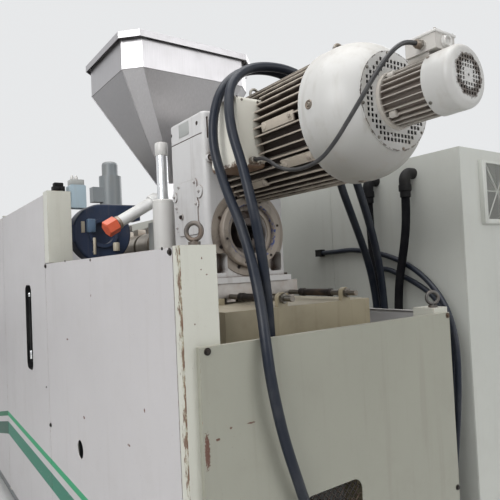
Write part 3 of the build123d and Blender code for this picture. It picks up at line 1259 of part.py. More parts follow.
# Fan motor: flange, finned body and terminal box with a side gland
SMALL_FIN_X = (SMALL_FLANGE_END, SMALL_FIN_END)
SMALL_BOX_X = (REAR + 345.0, REAR + 445.0)
SMALL_BOX_Y = (LEFT + 563.0, LEFT + 651.0)
SMALL_BOX_Z = (MOTOR_Z + SMALL_COWL_RADIUS + 2.0, 2225.0)
FAN_CABLE_END = (REAR + 403.0, LEFT + 545.0, 2196.0)
with BuildPart() as fan_motor:
    x_disc((GUARD_X[1], SMALL_FLANGE_END), SMALL_COWL_RADIUS)
    finned_barrel(SMALL_FIN_X, SMALL_ROOT, SMALL_TIP, SMALL_FIN_COUNT, 3.0)
    x_disc((SMALL_COWL_EDGE - 1.0, SMALL_FIN_END), SMALL_COWL_RADIUS - SHEET)
    block(
        (SMALL_BOX_X[0], SMALL_COWL_EDGE - SEAM),
        (SMALL_BOX_Y[0] + 8.0, SMALL_BOX_Y[1] - 8.0),
        (MOTOR_Z, SMALL_BOX_Z[0]),
    )
    block(SMALL_BOX_X, SMALL_BOX_Y, SMALL_BOX_Z)
    side_gland = (FAN_CABLE_END[0], SMALL_BOX_Y[0], FAN_CABLE_END[2])
    round_bar(side_gland, (0, -1, 0), GLAND_RADIUS, SMALL_BOX_Y[0] - FAN_CABLE_END[1])
    fan_bore = (GUARD_X[1], SHAFT_END + 1.0)
    x_disc(fan_bore, FAN_SHAFT + RUN_GAP, mode=Mode.SUBTRACT)
fan_motor.part.label = "fan_motor"
export_step(fan_motor.part, "parts/fan_motor.step")

# Sheet cowl of the fan motor with a grid of square air holes round a plain middle
SMALL_END_RADIUS = 68.0
SMALL_GRID_PITCH = 12.0
SMALL_GRID_HOLE = 8.5
SMALL_GRID_CELLS = 9
SMALL_PLATE = 16.0
with BuildPart() as fan_motor_cowl:
    x_disc((SMALL_COWL_EDGE, SMALL_COWL_END), SMALL_COWL_RADIUS)
    rim = fan_motor_cowl.faces().sort_by(Axis.X)[-1].edges()
    fillet(rim, SMALL_COWL_RADIUS - SMALL_END_RADIUS)
    hollow = (SMALL_COWL_EDGE, SMALL_COWL_END - SHEET)
    x_disc((hollow[0], hollow[1] - 16.0), SMALL_COWL_RADIUS - SHEET, mode=Mode.SUBTRACT)
    x_disc(hollow, SMALL_END_RADIUS, mode=Mode.SUBTRACT)
    with BuildSketch(Plane(origin=(SMALL_COWL_END, AXIS_Y, MOTOR_Z), z_dir=(1, 0, 0))):
        middle = (SMALL_GRID_CELLS - 1) / 2
        steps = [SMALL_GRID_PITCH * (cell - middle) for cell in range(SMALL_GRID_CELLS)]
        holes = [
            (x, y)
            for x in steps
            for y in steps
            if Vector(x, y).length < SMALL_END_RADIUS - SMALL_GRID_HOLE
            and max(abs(x), abs(y)) > SMALL_PLATE
        ]
        with Locations(*holes):
            Rectangle(SMALL_GRID_HOLE, SMALL_GRID_HOLE)
        Circle(SMALL_GRID_HOLE / 2)
    extrude(amount=-2 * SHEET, mode=Mode.SUBTRACT)
fan_motor_cowl.part.label = "fan_motor_cowl"
export_step(fan_motor_cowl.part, "parts/fan_motor_cowl.step")

# Barrel blower: scroll housing on a bracket of the guard post, with its outlet duct
BLOWER_SPAN = (BLOWER_X - BLOWER_WIDTH / 2, BLOWER_X + BLOWER_WIDTH / 2)
DUCT_Z = (BLOWER_Z + 0.45 * BLOWER_RADIUS, BLOWER_Z + BLOWER_RADIUS)
DUCT_END = LEFT + 520.0
with BuildPart() as barrel_blower:
    round_bar((BLOWER_SPAN[0], BLOWER_Y, BLOWER_Z), (1, 0, 0), BLOWER_RADIUS, BLOWER_WIDTH)
    block(BLOWER_SPAN, (BLOWER_Y, DUCT_END), DUCT_Z)
    block(
        (BLOWER_SPAN[0] + 15.0, BLOWER_SPAN[1] - 15.0),
        (DUCT_END - 60.0, DUCT_END),
        (DUCT_Z[0] + 15.0, DUCT_Z[1] - 15.0),
        mode=Mode.SUBTRACT,
    )
    edges = barrel_blower.faces().sort_by(Axis.X)[-1].edges().filter_by(GeomType.CIRCLE)
    fillet(edges, 12.0)
    block(
        (RETURN_X[0], BLOWER_SPAN[1] - 4.0),
        (LEFT + RETURN_DEPTH, BLOWER_Y - 0.8 * BLOWER_RADIUS),
        (BLOWER_Z - 45.0, BLOWER_Z + 45.0),
    )
    round_bar((BLOWER_SPAN[1], BLOWER_Y, BLOWER_Z), (1, 0, 0), 0.5 * BLOWER_RADIUS, 14.0)
    inlet = (BLOWER_SPAN[1] + 14.0, BLOWER_Y, BLOWER_Z)
    round_bar(inlet, (-1, 0, 0), 0.38 * BLOWER_RADIUS, 40.0, Mode.SUBTRACT)
barrel_blower.part.label = "barrel_blower"
export_step(barrel_blower.part, "parts/barrel_blower.step")

# Junction box with its connector block on the inner face of the guard post
JUNCTION_X = (RETURN_X[0], RETURN_X[1] - 4.0)
JUNCTION_Y = (LEFT + RETURN_DEPTH, LEFT + RETURN_DEPTH + JUNCTION_WIDTH)
with BuildPart() as junction_box:
    block(JUNCTION_X, JUNCTION_Y, (JUNCTION_BOTTOM, JUNCTION_TOP))
    fillet(junction_box.edges().filter_by(Axis.X), 8.0)
    block(
        (JUNCTION_X[0] + 8.0, JUNCTION_X[1] - 8.0),
        (JUNCTION_Y[0] + 10.0, JUNCTION_Y[1] - 10.0),
        (JUNCTION_TOP, JUNCTION_TOP + 28.0),
    )
junction_box.part.label = "junction_box"
export_step(junction_box.part, "parts/junction_box.step")

# Clamp end plates with their hydraulic cylinders
CLAMP_SIDES = (1, -1)
BOSS_OUTSIDE = 60.0
with BuildPart() as clamp_end_plates:
    for side in CLAMP_SIDES:
        plate_x = sorted(CLAMP_X + side * x for x in (END_PLATE_FACE, END_PLATE_FACE + END_PLATE))
        block(
            plate_x,
            (AXIS_Y - END_PLATE_WIDTH / 2, AXIS_Y + END_PLATE_WIDTH / 2),
            (CROSS_TOP, END_PLATE_TOP),
        )
        ram_z = (PLATEN_BOTTOM + PLATEN_TOP) / 2
        boss = (CLAMP_X + side * (END_PLATE_FACE - CYLINDER_REACH), AXIS_Y, ram_z)
        boss_length = CYLINDER_REACH + END_PLATE + BOSS_OUTSIDE
        round_bar(boss, (side, 0, 0), CYLINDER_RADIUS, boss_length)
        bore_length = CYLINDER_REACH + END_PLATE
        round_bar(boss, (side, 0, 0), RAM_RADIUS + RUN_GAP, bore_length, Mode.SUBTRACT)
        for tie_z in TIE_ZS:
            for tie_y in (AXIS_Y - TIE_Y, AXIS_Y + TIE_Y):
                hole = (CLAMP_X + side * END_PLATE_FACE, tie_y, tie_z)
                round_bar(hole, (side, 0, 0), TIE_RADIUS, END_PLATE, Mode.SUBTRACT)
    fillet(clamp_end_plates.edges().filter_by(Axis.X).group_by(Axis.Z)[-1], 40.0)
clamp_end_plates.part.label = "clamp_end_plates"
export_step(clamp_end_plates.part, "parts/clamp_end_plates.step")

# Four tie bars with a nut at each end
TIE_REACH = END_PLATE_FACE + END_PLATE
TIE_NUT = 40.0
with BuildPart() as tie_bars:
    for tie_z in TIE_ZS:
        for tie_y in (AXIS_Y - TIE_Y, AXIS_Y + TIE_Y):
            start = (CLAMP_X - TIE_REACH, tie_y, tie_z)
            round_bar(start, (1, 0, 0), TIE_RADIUS, 2 * TIE_REACH)
            for side in CLAMP_SIDES:
                nut_plane = Plane(
                    origin=(CLAMP_X + side * TIE_REACH, tie_y, tie_z), z_dir=(side, 0, 0)
                )
                with BuildSketch(nut_plane):
                    RegularPolygon(1.5 * TIE_RADIUS, 6)
                extrude(amount=TIE_NUT)
tie_bars.part.label = "tie_bars"
export_step(tie_bars.part, "parts/tie_bars.step")

# Platens on the tie bars, each with its ram
MOULD_OPEN = STROKE + SEAT_GAP
MOULD_BACK = MOULD_OPEN + MOULD_THICK


def add_platen(side):
    """Add one platen with four guide bores and the ram that runs in its cylinder."""
    x_span = sorted(CLAMP_X + side * x for x in (MOULD_BACK, MOULD_BACK + PLATEN_THICK))
    y_span = (AXIS_Y - PLATEN_WIDTH / 2, AXIS_Y + PLATEN_WIDTH / 2)
    block(x_span, y_span, (PLATEN_BOTTOM, PLATEN_TOP))
    for tie_z in TIE_ZS:
        for tie_y in (AXIS_Y - TIE_Y, AXIS_Y + TIE_Y):
            bore_start = (x_span[0], tie_y, tie_z)
            round_bar(bore_start, (1, 0, 0), TIE_RADIUS + RUN_GAP, PLATEN_THICK, Mode.SUBTRACT)
    ram = (CLAMP_X + side * (MOULD_BACK + PLATEN_THICK), AXIS_Y, (PLATEN_BOTTOM + PLATEN_TOP) / 2)
    round_bar(ram, (side, 0, 0), RAM_RADIUS, RAM_LENGTH)


with BuildPart() as platen_rear:
    add_platen(1)
platen_rear.part.label = "platen_rear"
export_step(platen_rear.part, "parts/platen_rear.step")

with BuildPart() as platen_front:
    add_platen(-1)
platen_front.part.label = "platen_front"
export_step(platen_front.part, "parts/platen_front.step")


def add_mould(side):
    """Add one mould half with its share of the bottle's cavity."""
    face_x = CLAMP_X + side * MOULD_OPEN
    x_span = sorted((face_x, CLAMP_X + side * MOULD_BACK))
    block(x_span, (AXIS_Y - MOULD_WIDTH / 2, AXIS_Y + MOULD_WIDTH / 2), (MOULD_BOTTOM, MOULD_TOP))
    section_plane = Plane(origin=(face_x, AXIS_Y, 0), x_dir=(1, 0, 0), z_dir=(0, -1, 0))
    with BuildSketch(section_plane) as cavity:
        with BuildLine():
            Polyline(
                (0, MOULD_BOTTOM),
                (CAVITY_NECK, MOULD_BOTTOM),
                (CAVITY_NECK, CAVITY_SHOULDER_Z),
                (CAVITY_BODY, CAVITY_BODY_Z),
                (CAVITY_BODY, CAVITY_TOP_Z),
                (0, CAVITY_TOP_Z),
                close=True,
            )
        make_face()
    revolve(cavity.sketch, axis=Axis((face_x, AXIS_Y, 0), (0, 0, 1)), mode=Mode.SUBTRACT)


with BuildPart() as mould_rear:
    add_mould(1)
mould_rear.part.label = "mould_rear"
export_step(mould_rear.part, "parts/mould_rear.step")

with BuildPart() as mould_front:
    add_mould(-1)
mould_front.part.label = "mould_front"
export_step(mould_front.part, "parts/mould_front.step")

# Blow pin below the moulds, with its cylinder on the middle cross member
with BuildPart() as blow_pin_cylinder:
    base = (CLAMP_X, AXIS_Y, CROSS_TOP)
    round_bar(base, (0, 0, 1), PIN_CYLINDER_RADIUS, PIN_CYLINDER_TOP - CROSS_TOP)
    round_bar(base, (0, 0, 1), PIN_CYLINDER_RADIUS + 15.0, FLANGE_THICK)
    bore_top = (CLAMP_X, AXIS_Y, PIN_CYLINDER_TOP)
    pin_bore = PIN_CYLINDER_TOP - PIN_TAIL_Z + 20.0
    round_bar(bore_top, (0, 0, -1), PIN_RADIUS + RUN_GAP, pin_bore, Mode.SUBTRACT)
blow_pin_cylinder.part.label = "blow_pin_cylinder"
export_step(blow_pin_cylinder.part, "parts/blow_pin_cylinder.step")

with BuildPart() as blow_pin:
    round_bar((CLAMP_X, AXIS_Y, PIN_TAIL_Z), (0, 0, 1), PIN_RADIUS, PIN_TIP_Z - PIN_TAIL_Z)
    chamfer(blow_pin.edges().group_by(Axis.Z)[-1], 3.0)
blow_pin.part.label = "blow_pin"
export_step(blow_pin.part, "parts/blow_pin.step")

# Control cabinet: two sheet bays on a plinth, the rear one with a door on the far side
CABINET_X = (CABINET_FRONT, CABINET_REAR)
CABINET_Y = (CABINET_LEFT, CABINET_RIGHT)
CABINET_SPLIT = CABINET_REAR - BAY_WIDTH
HINGE_OUT = 9.0
HINGE_PIN = 5.0
HINGE_X = CABINET_REAR + HINGE_OUT
HINGE_Y = CABINET_RIGHT + CABINET_DOOR / 2 + SEAT_GAP
KNUCKLE = 40.0
KNUCKLE_ZS = (400.0, 1800.0)
DOOR_X = (CABINET_SPLIT + SEAM, CABINET_REAR - SEAM)
DOOR_Z = (PLINTH + CABINET_LIP, CABINET_TOP - CABINET_LIP / 2)
with BuildPart() as cabinet_body:
    block(CABINET_X, CABINET_Y, (PLINTH, CABINET_TOP))
    for bay_x in ((CABINET_SPLIT, CABINET_REAR), (CABINET_FRONT, CABINET_SPLIT)):
        inside_x = (bay_x[0] + SHEET, bay_x[1] - SHEET)
        block(
            inside_x,
            (CABINET_LEFT + SHEET, CABINET_RIGHT - SHEET),
            (PLINTH + SHEET, CABINET_TOP - SHEET),
            mode=Mode.SUBTRACT,
        )
    block(
        (DOOR_X[0] + CABINET_LIP, DOOR_X[1] - CABINET_LIP),
        (CABINET_RIGHT - 2 * SHEET, CABINET_RIGHT),
        (DOOR_Z[0] + CABINET_LIP, DOOR_Z[1] - CABINET_LIP),
        mode=Mode.SUBTRACT,
    )
    plinth_x = (CABINET_FRONT + CABINET_LIP, CABINET_REAR - CABINET_LIP)
    plinth_y = (CABINET_LEFT + CABINET_LIP, CABINET_RIGHT - CABINET_LIP)
    block(plinth_x, plinth_y, (0, PLINTH))
    block(
        (plinth_x[0] + CABINET_LIP, plinth_x[1] - CABINET_LIP),
        (plinth_y[0] + CABINET_LIP, plinth_y[1] - CABINET_LIP),
        (0, PLINTH),
        mode=Mode.SUBTRACT,
    )
    for face_x in (CABINET_REAR, CABINET_SPLIT, CABINET_FRONT):
        seam_x = min(max(face_x, CABINET_FRONT + 2.0), CABINET_REAR - 2.0)
        block(
            (seam_x - 2.0, seam_x + 2.0),
            (CABINET_LEFT, CABINET_LEFT + 2.0),
            (PLINTH, CABINET_TOP),
            mode=Mode.SUBTRACT,
        )
    grille_y = (GRILLE_Y - GRILLE_WIDTH / 2, GRILLE_Y + GRILLE_WIDTH / 2)
    grille_z = (GRILLE_Z - GRILLE_HEIGHT / 2, GRILLE_Z + GRILLE_HEIGHT / 2)
    block((CABINET_REAR, CABINET_REAR + 12.0), grille_y, grille_z)
    slat_pitch = (GRILLE_HEIGHT - 30.0) / 14
    for slat in range(14):
        slat_z = grille_z[0] + 15.0 + (slat + 0.5) * slat_pitch
        block(
            (CABINET_REAR + 4.0, CABINET_REAR + 12.0),
            (grille_y[0] + 15.0, grille_y[1] - 15.0),
            (slat_z - 0.3 * slat_pitch, slat_z + 0.3 * slat_pitch),
            mode=Mode.SUBTRACT,
        )
    for knuckle_z in KNUCKLE_ZS:
        block(
            (CABINET_REAR, HINGE_X + HINGE_PIN),
            (CABINET_RIGHT - KNUCKLE, HINGE_Y + HINGE_PIN),
            (knuckle_z - KNUCKLE, knuckle_z),
        )
        round_bar((HINGE_X, HINGE_Y, knuckle_z), (0, 0, 1), HINGE_PIN, KNUCKLE)
cabinet_body.part.label = "cabinet_body"
export_step(cabinet_body.part, "parts/cabinet_body.step")

with BuildPart() as cabinet_door:
    door_y = (CABINET_RIGHT + SEAT_GAP, CABINET_RIGHT + SEAT_GAP + CABINET_DOOR)
    block(DOOR_X, door_y, DOOR_Z)
    block(
        (DOOR_X[0] + SHEET, DOOR_X[1] - SHEET),
        (door_y[0], door_y[1] - SHEET),
        (DOOR_Z[0] + SHEET, DOOR_Z[1] - SHEET),
        mode=Mode.SUBTRACT,
    )
    for knuckle_z in KNUCKLE_ZS:
        block(
            (DOOR_X[1] - SHEET, HINGE_X),
            (HINGE_Y - HINGE_PIN - 2.0, HINGE_Y + HINGE_PIN + 2.0),
            (knuckle_z + SEAT_GAP, knuckle_z + KNUCKLE),
        )
        knuckle = (HINGE_X, HINGE_Y, knuckle_z + SEAT_GAP)
        round_bar(knuckle, (0, 0, 1), HINGE_PIN + 3.0, KNUCKLE - SEAT_GAP)
        round_bar(knuckle, (0, 0, 1), HINGE_PIN + RUN_GAP, KNUCKLE, Mode.SUBTRACT)
    lock_x = DOOR_X[0] + 45.0
    block((lock_x - 14.0, lock_x + 14.0), (door_y[1], door_y[1] + 26.0), (1000.0, 1150.0))
cabinet_door.part.label = "cabinet_door"
export_step(cabinet_door.part, "parts/cabinet_door.step")

# Cable trunking between the machine and the cabinet, and the drive box inside the rear
TRUNKING_X = (REAR - 700.0, REAR - 60.0)
DRIVE_BOX_X = (REAR - 300.0, REAR - 40.0)
DRIVE_BOX_Y = (LEFT + 359.0, LEFT + 600.0)
with BuildPart() as cable_boxes:
    block(TRUNKING_X, (RIGHT, CABINET_LEFT), (TRUNKING_BOTTOM, TRUNKING_TOP))
    block(DRIVE_BOX_X, DRIVE_BOX_Y, (CROSS_TOP, DRIVE_BOX_TOP))
cable_boxes.part.label = "cable_boxes"
export_step(cable_boxes.part, "parts/cable_boxes.step")

# Routes of the cables and conduits, from the rear panel, the operator side and the floor
CABLE_RADIUS = 17.0
CONDUIT_RADIUS = 20.0
FIELD_RADIUS = 13.0
FAN_CABLE_RADIUS = 6.5
MOTOR_CABLE_A = machine_points([
    (-457, 1300, 425), (-457, 1300, 720), (-462, 1296, 1090), (-452, 1288, 1400),
    (-432, 1225, 1590), (-395, 1130, 1720), (-340, 1010, 1850), (-302, 925, 1950),
    (-286, 880, 2080), (-291, 832, 2215), (-284, 745, 2312), (-278, 630, 2352),
    (-272, 515, 2352), (-274, 405, 2322), (-265, 316, 2240), (-268, 282, 2130),
    (-262, 276, 2030), (-238, 282, 1945), (-192, 281, 1855), (-131, 286, 1750),
    (-86, 284, 1655), (-47, 278, 1560), (-8, 266, 1470), (24, 252, 1380),
    (42, 250, 1280), (46, 266, 1180), (43, 292, 1080), (44, 324, 980),
    (38, 360, 885), (12, 404, 802), (-26, 440, 726), (-62, 458, 650),
    (-90, 462, 575), (-90, 462, 495),
])
MOTOR_CABLE_B = machine_points([
    (-410, 1300, 425), (-410, 1300, 720), (-413, 1296, 1090), (-404, 1286, 1400),
    (-372, 1228, 1590), (-318, 1130, 1730), (-245, 1000, 1860), (-208, 915, 1965),
    (-206, 876, 2090), (-213, 826, 2225), (-225, 740, 2316), (-233, 625, 2354),
    (-232, 510, 2350), (-224, 406, 2318), (-200, 320, 2246), (-175, 288, 2150),
    (-150, 282, 2052), (-118, 289, 1960), (-86, 290, 1868), (-64, 296, 1775),
    (-60, 310, 1680), (-64, 324, 1585), (-62, 332, 1490), (-67, 338, 1395),
    (-70, 346, 1290), (-77, 353, 1150), (-85, 364, 1010), (-91, 374, 870),
    (-94, 379, 740), (-96, 380, 615), (-96, 380, 495),
])
CONDUIT_A = machine_points([
    (-543, 1370, 1960), (-543, 1370, 1760), (-530, 1373, 1560), (-519, 1368, 1380),
    (-522, 1374, 1080), (-516, 1368, 780), (-520, 1370, 600), (-520, 1370, 425),
])
CONDUIT_B = machine_points([
    (-312, 1370, 1960), (-312, 1370, 1800), (-345, 1373, 1640), (-378, 1369, 1500),
    (-396, 1373, 1340), (-402, 1368, 1060), (-396, 1372, 780), (-398, 1370, 600),
    (-398, 1370, 425),
])
FIELD_CABLE_A = machine_points([
    (-954, 1417, 1667), (-850, 1417, 1667), (-739, 1417, 1674), (-640, 1418, 1662),
    (-529, 1417, 1644), (-403, 1414, 1604), (-278, 1396, 1543), (-162, 1358, 1460),
    (-78, 1318, 1368), (-34, 1292, 1258), (-26, 1282, 1138), (-34, 1281, 988),
    (-54, 1284, 838), (-74, 1287, 698), (-82, 1288, 560), (-82, 1288, 425),
])
FIELD_CABLE_B = machine_points([
    (-560, 1417, 1566), (-490, 1417, 1566), (-409, 1417, 1532), (-290, 1400, 1486),
    (-174, 1366, 1426), (-96, 1332, 1340), (-66, 1310, 1240), (-68, 1304, 1120),
    (-78, 1306, 980), (-98, 1312, 830), (-120, 1316, 690), (-130, 1318, 560),
    (-130, 1318, 425),
])
FAN_CABLE = [FAN_CABLE_START] + machine_points([
    (-125, 383, 1973), (-85, 381, 1955), (-30, 376, 1921), (35, 374, 1899),
    (105, 376, 1895), (170, 380, 1909), (225, 386, 1950), (272, 393, 2000),
    (318, 400, 2050), (355, 412, 2100), (386, 434, 2148), (400, 466, 2180),
    (403, 506, 2195),
]) + [FAN_CABLE_END]

# Glands on the trunking and the drive box, and the elbows on the cabinet's wall
GLAND_HEIGHT = 25.0
ELBOW_RADIUS = 27.0
ELBOW_SOCKET = 20.0
ELBOW_BEND = 40.0
with BuildPart() as cable_glands:
    ends = [
        (MOTOR_CABLE_A[0], CABLE_RADIUS), (MOTOR_CABLE_B[0], CABLE_RADIUS),
        (CONDUIT_A[-1], CONDUIT_RADIUS), (CONDUIT_B[-1], CONDUIT_RADIUS),
        (FIELD_CABLE_A[-1], FIELD_RADIUS), (FIELD_CABLE_B[-1], FIELD_RADIUS),
        (MOTOR_CABLE_A[-1], CABLE_RADIUS), (MOTOR_CABLE_B[-1], CABLE_RADIUS),
    ]
    for end, held in ends:
        with BuildSketch(Plane(origin=end, z_dir=(0, 0, -1))):
            RegularPolygon(held + 8.0, 6)
        extrude(amount=GLAND_HEIGHT)
    for start in (CONDUIT_A[0], CONDUIT_B[0]):
        round_bar(start, (0, 0, 1), ELBOW_RADIUS, ELBOW_SOCKET)
        with BuildSketch(Plane(origin=start, z_dir=(0, 0, 1)).offset(ELBOW_SOCKET)) as mouth:
            Circle(ELBOW_RADIUS)
        turn = (start[0], start[1] + ELBOW_BEND, start[2] + ELBOW_SOCKET)
        revolve(mouth.sketch, axis=Axis(turn, (-1, 0, 0)), revolution_arc=90)
        leg = (start[0], turn[1], turn[2] + ELBOW_BEND)
        round_bar(leg, (0, 1, 0), ELBOW_RADIUS, CABINET_LEFT - leg[1])
    for start in (FIELD_CABLE_A[0], FIELD_CABLE_B[0]):
        block(
            (start[0] - 44.0, start[0]),
            (start[1] - 20.0, CABINET_LEFT),
            (start[2] - 20.0, start[2] + 20.0),
        )
cable_glands.part.label = "cable_glands"
export_step(cable_glands.part, "parts/cable_glands.step")

# The cables and conduits themselves
with BuildPart() as motor_cable_a:
    cord_tube("motor_cable_a", MOTOR_CABLE_A, CABLE_RADIUS)
motor_cable_a.part.label = "motor_cable_a"
export_step(motor_cable_a.part, "parts/motor_cable_a.step")

with BuildPart() as motor_cable_b:
    cord_tube("motor_cable_b", MOTOR_CABLE_B, CABLE_RADIUS)
motor_cable_b.part.label = "motor_cable_b"
export_step(motor_cable_b.part, "parts/motor_cable_b.step")

with BuildPart() as conduit_a:
    cord_tube("conduit_a", CONDUIT_A, CONDUIT_RADIUS)
conduit_a.part.label = "conduit_a"
export_step(conduit_a.part, "parts/conduit_a.step")

with BuildPart() as conduit_b:
    cord_tube("conduit_b", CONDUIT_B, CONDUIT_RADIUS)
conduit_b.part.label = "conduit_b"
export_step(conduit_b.part, "parts/conduit_b.step")

with BuildPart() as field_cable_a:
    cord_tube("field_cable_a", FIELD_CABLE_A, FIELD_RADIUS)
field_cable_a.part.label = "field_cable_a"
export_step(field_cable_a.part, "parts/field_cable_a.step")

with BuildPart() as field_cable_b:
    cord_tube("field_cable_b", FIELD_CABLE_B, FIELD_RADIUS)
field_cable_b.part.label = "field_cable_b"
export_step(field_cable_b.part, "parts/field_cable_b.step")

with BuildPart() as fan_cable:
    cord_tube("fan_cable", FAN_CABLE, FAN_CABLE_RADIUS)
fan_cable.part.label = "fan_cable"
export_step(fan_cable.part, "parts/fan_cable.step")
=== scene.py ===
"""Finishes, cables, small fittings and setting of an extrusion blow moulding machine.

Metres, +Z up, +X towards the drive end, +Y towards the control cabinet.
"""
import logging
import math
from dataclasses import dataclass, fields
from enum import Enum
from typing import Iterable, Sequence

import bmesh
import bpy
from bmesh.types import BMEdge, BMVert
from bpy.types import Material, Node, NodeSocket, NodeTree, Object
from mathutils import Matrix, Vector


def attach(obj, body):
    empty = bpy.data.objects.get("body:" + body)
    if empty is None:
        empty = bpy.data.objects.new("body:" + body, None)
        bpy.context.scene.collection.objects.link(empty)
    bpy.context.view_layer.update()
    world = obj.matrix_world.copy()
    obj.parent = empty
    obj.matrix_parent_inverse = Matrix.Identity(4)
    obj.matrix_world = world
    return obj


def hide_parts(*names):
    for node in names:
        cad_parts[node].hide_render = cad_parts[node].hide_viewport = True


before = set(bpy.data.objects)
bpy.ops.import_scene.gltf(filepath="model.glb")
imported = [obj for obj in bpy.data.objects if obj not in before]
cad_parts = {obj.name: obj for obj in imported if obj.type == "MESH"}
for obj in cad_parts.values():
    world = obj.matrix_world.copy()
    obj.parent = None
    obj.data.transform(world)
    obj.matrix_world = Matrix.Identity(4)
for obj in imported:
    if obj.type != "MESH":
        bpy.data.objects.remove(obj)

LOG = logging.getLogger("blow_moulder")

MM = 0.001
REAR = 1.6305                  # outer face of the rear panel, x
LEFT = -1.03715                # outer face of the operator side, y
MOTOR_AXIS = Vector((0.0, LEFT + 0.607, 2.086))                # only its y and z count
OUTPUT_CENTRE = Vector((REAR - 0.544, LEFT + 0.607, 1.752))    # face of the output flange

REARWARD = Vector((1, 0, 0))
OUTWARD = Vector((0, -1, 0))   # out of the operator side
UP = Vector((0, 0, 1))

Colour = tuple[float, float, float]
Point = tuple[float, float, float]
Span = tuple[float, float]
Finishes = dict[str, Material]
Sockets = bpy.types.bpy_prop_collection


def machine_point(x: float, y: float, z: float) -> Vector:
    """Turn millimetres from the rear panel, the operator side and the floor into the frame.

    Args:
        x: Distance behind the rear panel, negative towards the front.
        y: Distance from the operator side.
        z: Height over the floor.

    Returns:
        The point in metres in the machine's frame.
    """
    return Vector((REAR + x * MM, LEFT + y * MM, z * MM))


class Axis(Enum):
    """Direction that a turned or brushed form follows."""

    X = 0
    Y = 1
    Z = 2

    @property
    def vector(self) -> Vector:
        """Unit vector along the axis."""
        return Vector([float(self.value == index) for index in range(3)])


class Graph:
    """Adds and links the nodes of one shader tree."""

    def __init__(self, tree: NodeTree) -> None:
        """Keep the tree that the nodes go into.

        Args:
            tree: Node tree of a material or of a group.
        """
        self.tree = tree

    def node(self, kind: str, *values: object, **settings: object) -> Node:
        """Add a node.

        Args:
            kind: Name of the shader node's type without its ShaderNode prefix.
            values: Values or sockets for its inputs, in order, None to skip one.
            settings: Properties of the node.

        Returns:
            The new node.
        """
        made = self.tree.nodes.new("ShaderNode" + kind)
        for name, value in settings.items():
            setattr(made, name, value)
        for socket, value in zip(made.inputs, values):
            self.put(socket, value)
        return made

    def put(self, socket: NodeSocket, value: object) -> None:
        """Link a socket to an input, or set the input's value.

        Args:
            socket: Input to fill.
            value: Output socket, number, colour or vector; None leaves the input alone.
        """
        if isinstance(value, NodeSocket):
            self.tree.links.new(value, socket)
        elif value is not None:
            wide = socket.type == "RGBA" and len(value) == 3
            socket.default_value = (*value, 1.0) if wide else value

    def math(self, operation: str, *values: object) -> NodeSocket:
        """Result of a math node."""
        return self.node("Math", *values, operation=operation).outputs[0]

    def times(self, first: object, second: object) -> NodeSocket:
        """Product of two values."""
        return self.math("MULTIPLY", first, second)

    def plus(self, first: object, second: object) -> NodeSocket:
        """Sum of two values."""
        return self.math("ADD", first, second)

    def minus(self, first: object, second: object) -> NodeSocket:
        """Difference of two values."""
        return self.math("SUBTRACT", first, second)

    def scaled(self, value: object, factor: object, offset: object) -> NodeSocket:
        """Value times a factor, plus an offset."""
        return self.math("MULTIPLY_ADD", value, factor, offset)

    def mix(self, factor: object, first: object, second: object,
            blend: str = "MIX") -> NodeSocket:
        """Mix two colours.

        Args:
            factor: Share of the second colour.
            first: Colour at a factor of 0.
            second: Colour at a factor of 1.
            blend: Blend type of the node.

        Returns:
            The mixed colour's socket.
        """
        made = self.node("Mix", data_type="RGBA", blend_type=blend)
        for index, value in ((0, factor), (6, first), (7, second)):
            self.put(made.inputs[index], value)
        return made.outputs[2]

    def noise(self, vector: object, scale: object, detail: float = 3.0,
              roughness: float = 0.55) -> NodeSocket:
        """Value of a noise texture."""
        made = self.node("TexNoise", vector, None, scale, detail, roughness)
        return made.outputs[0]

    def step(self, value: object, low: object, high: object) -> NodeSocket:
        """Rise smoothly from 0 at the low value to 1 at the high one."""
        made = self.node("MapRange", value, low, high, 0.0, 1.0,
                         interpolation_type="SMOOTHSTEP")
        return made.outputs[0]

    def stretched(self, vector: object, scale: Point) -> NodeSocket:
        """Vector scaled by its own factor on each axis."""
        return self.node("VectorMath", vector, scale, operation="MULTIPLY").outputs[0]

    def place(self) -> NodeSocket:
        """Object coordinates, which are the machine's own."""
        return self.node("TexCoord").outputs["Object"]

    def parts(self, vector: object) -> Sockets:
        """Outputs of a vector's x, y and z."""
        return self.node("SeparateXYZ", vector).outputs

    def reach(self, vector: object, centre: Span) -> tuple[NodeSocket, NodeSocket]:
        """Offset from an axis along X through a y and z, and the distance from it."""
        off = self.node("VectorMath", vector, (0.0, *centre), operation="SUBTRACT").outputs[0]
        flat = self.stretched(off, (0.0, 1.0, 1.0))
        return off, self.node("VectorMath", flat, operation="LENGTH").outputs["Value"]


def new_group(name: str, inputs: dict[str, object],
              outputs: dict[str, str]) -> tuple[NodeTree, Graph, Node, Node]:
    """Start a shader node group.

    Args:
        name: Name of the group.
        inputs: Default value of each input, by name; a colour has three numbers,
            and a string names a vector socket.
        outputs: Type of each output socket, by name.

    Returns:
        The group, its graph, and its input and output nodes.
    """
    tree = bpy.data.node_groups.new(name, "ShaderNodeTree")
    for label, value in inputs.items():
        if isinstance(value, str):
            tree.interface.new_socket(name=label, in_out="INPUT", socket_type="NodeSocketVector")
        elif isinstance(value, tuple):
            socket = tree.interface.new_socket(
                name=label, in_out="INPUT", socket_type="NodeSocketColor")
            socket.default_value = (*value, 1.0)
        else:
            socket = tree.interface.new_socket(
                name=label, in_out="INPUT", socket_type="NodeSocketFloat")
            socket.default_value = value
    for label, kind in outputs.items():
        tree.interface.new_socket(name=label, in_out="OUTPUT", socket_type="NodeSocket" + kind)
    source = tree.nodes.new("NodeGroupInput")
    target = tree.nodes.new("NodeGroupOutput")
    return tree, Graph(tree), source, target


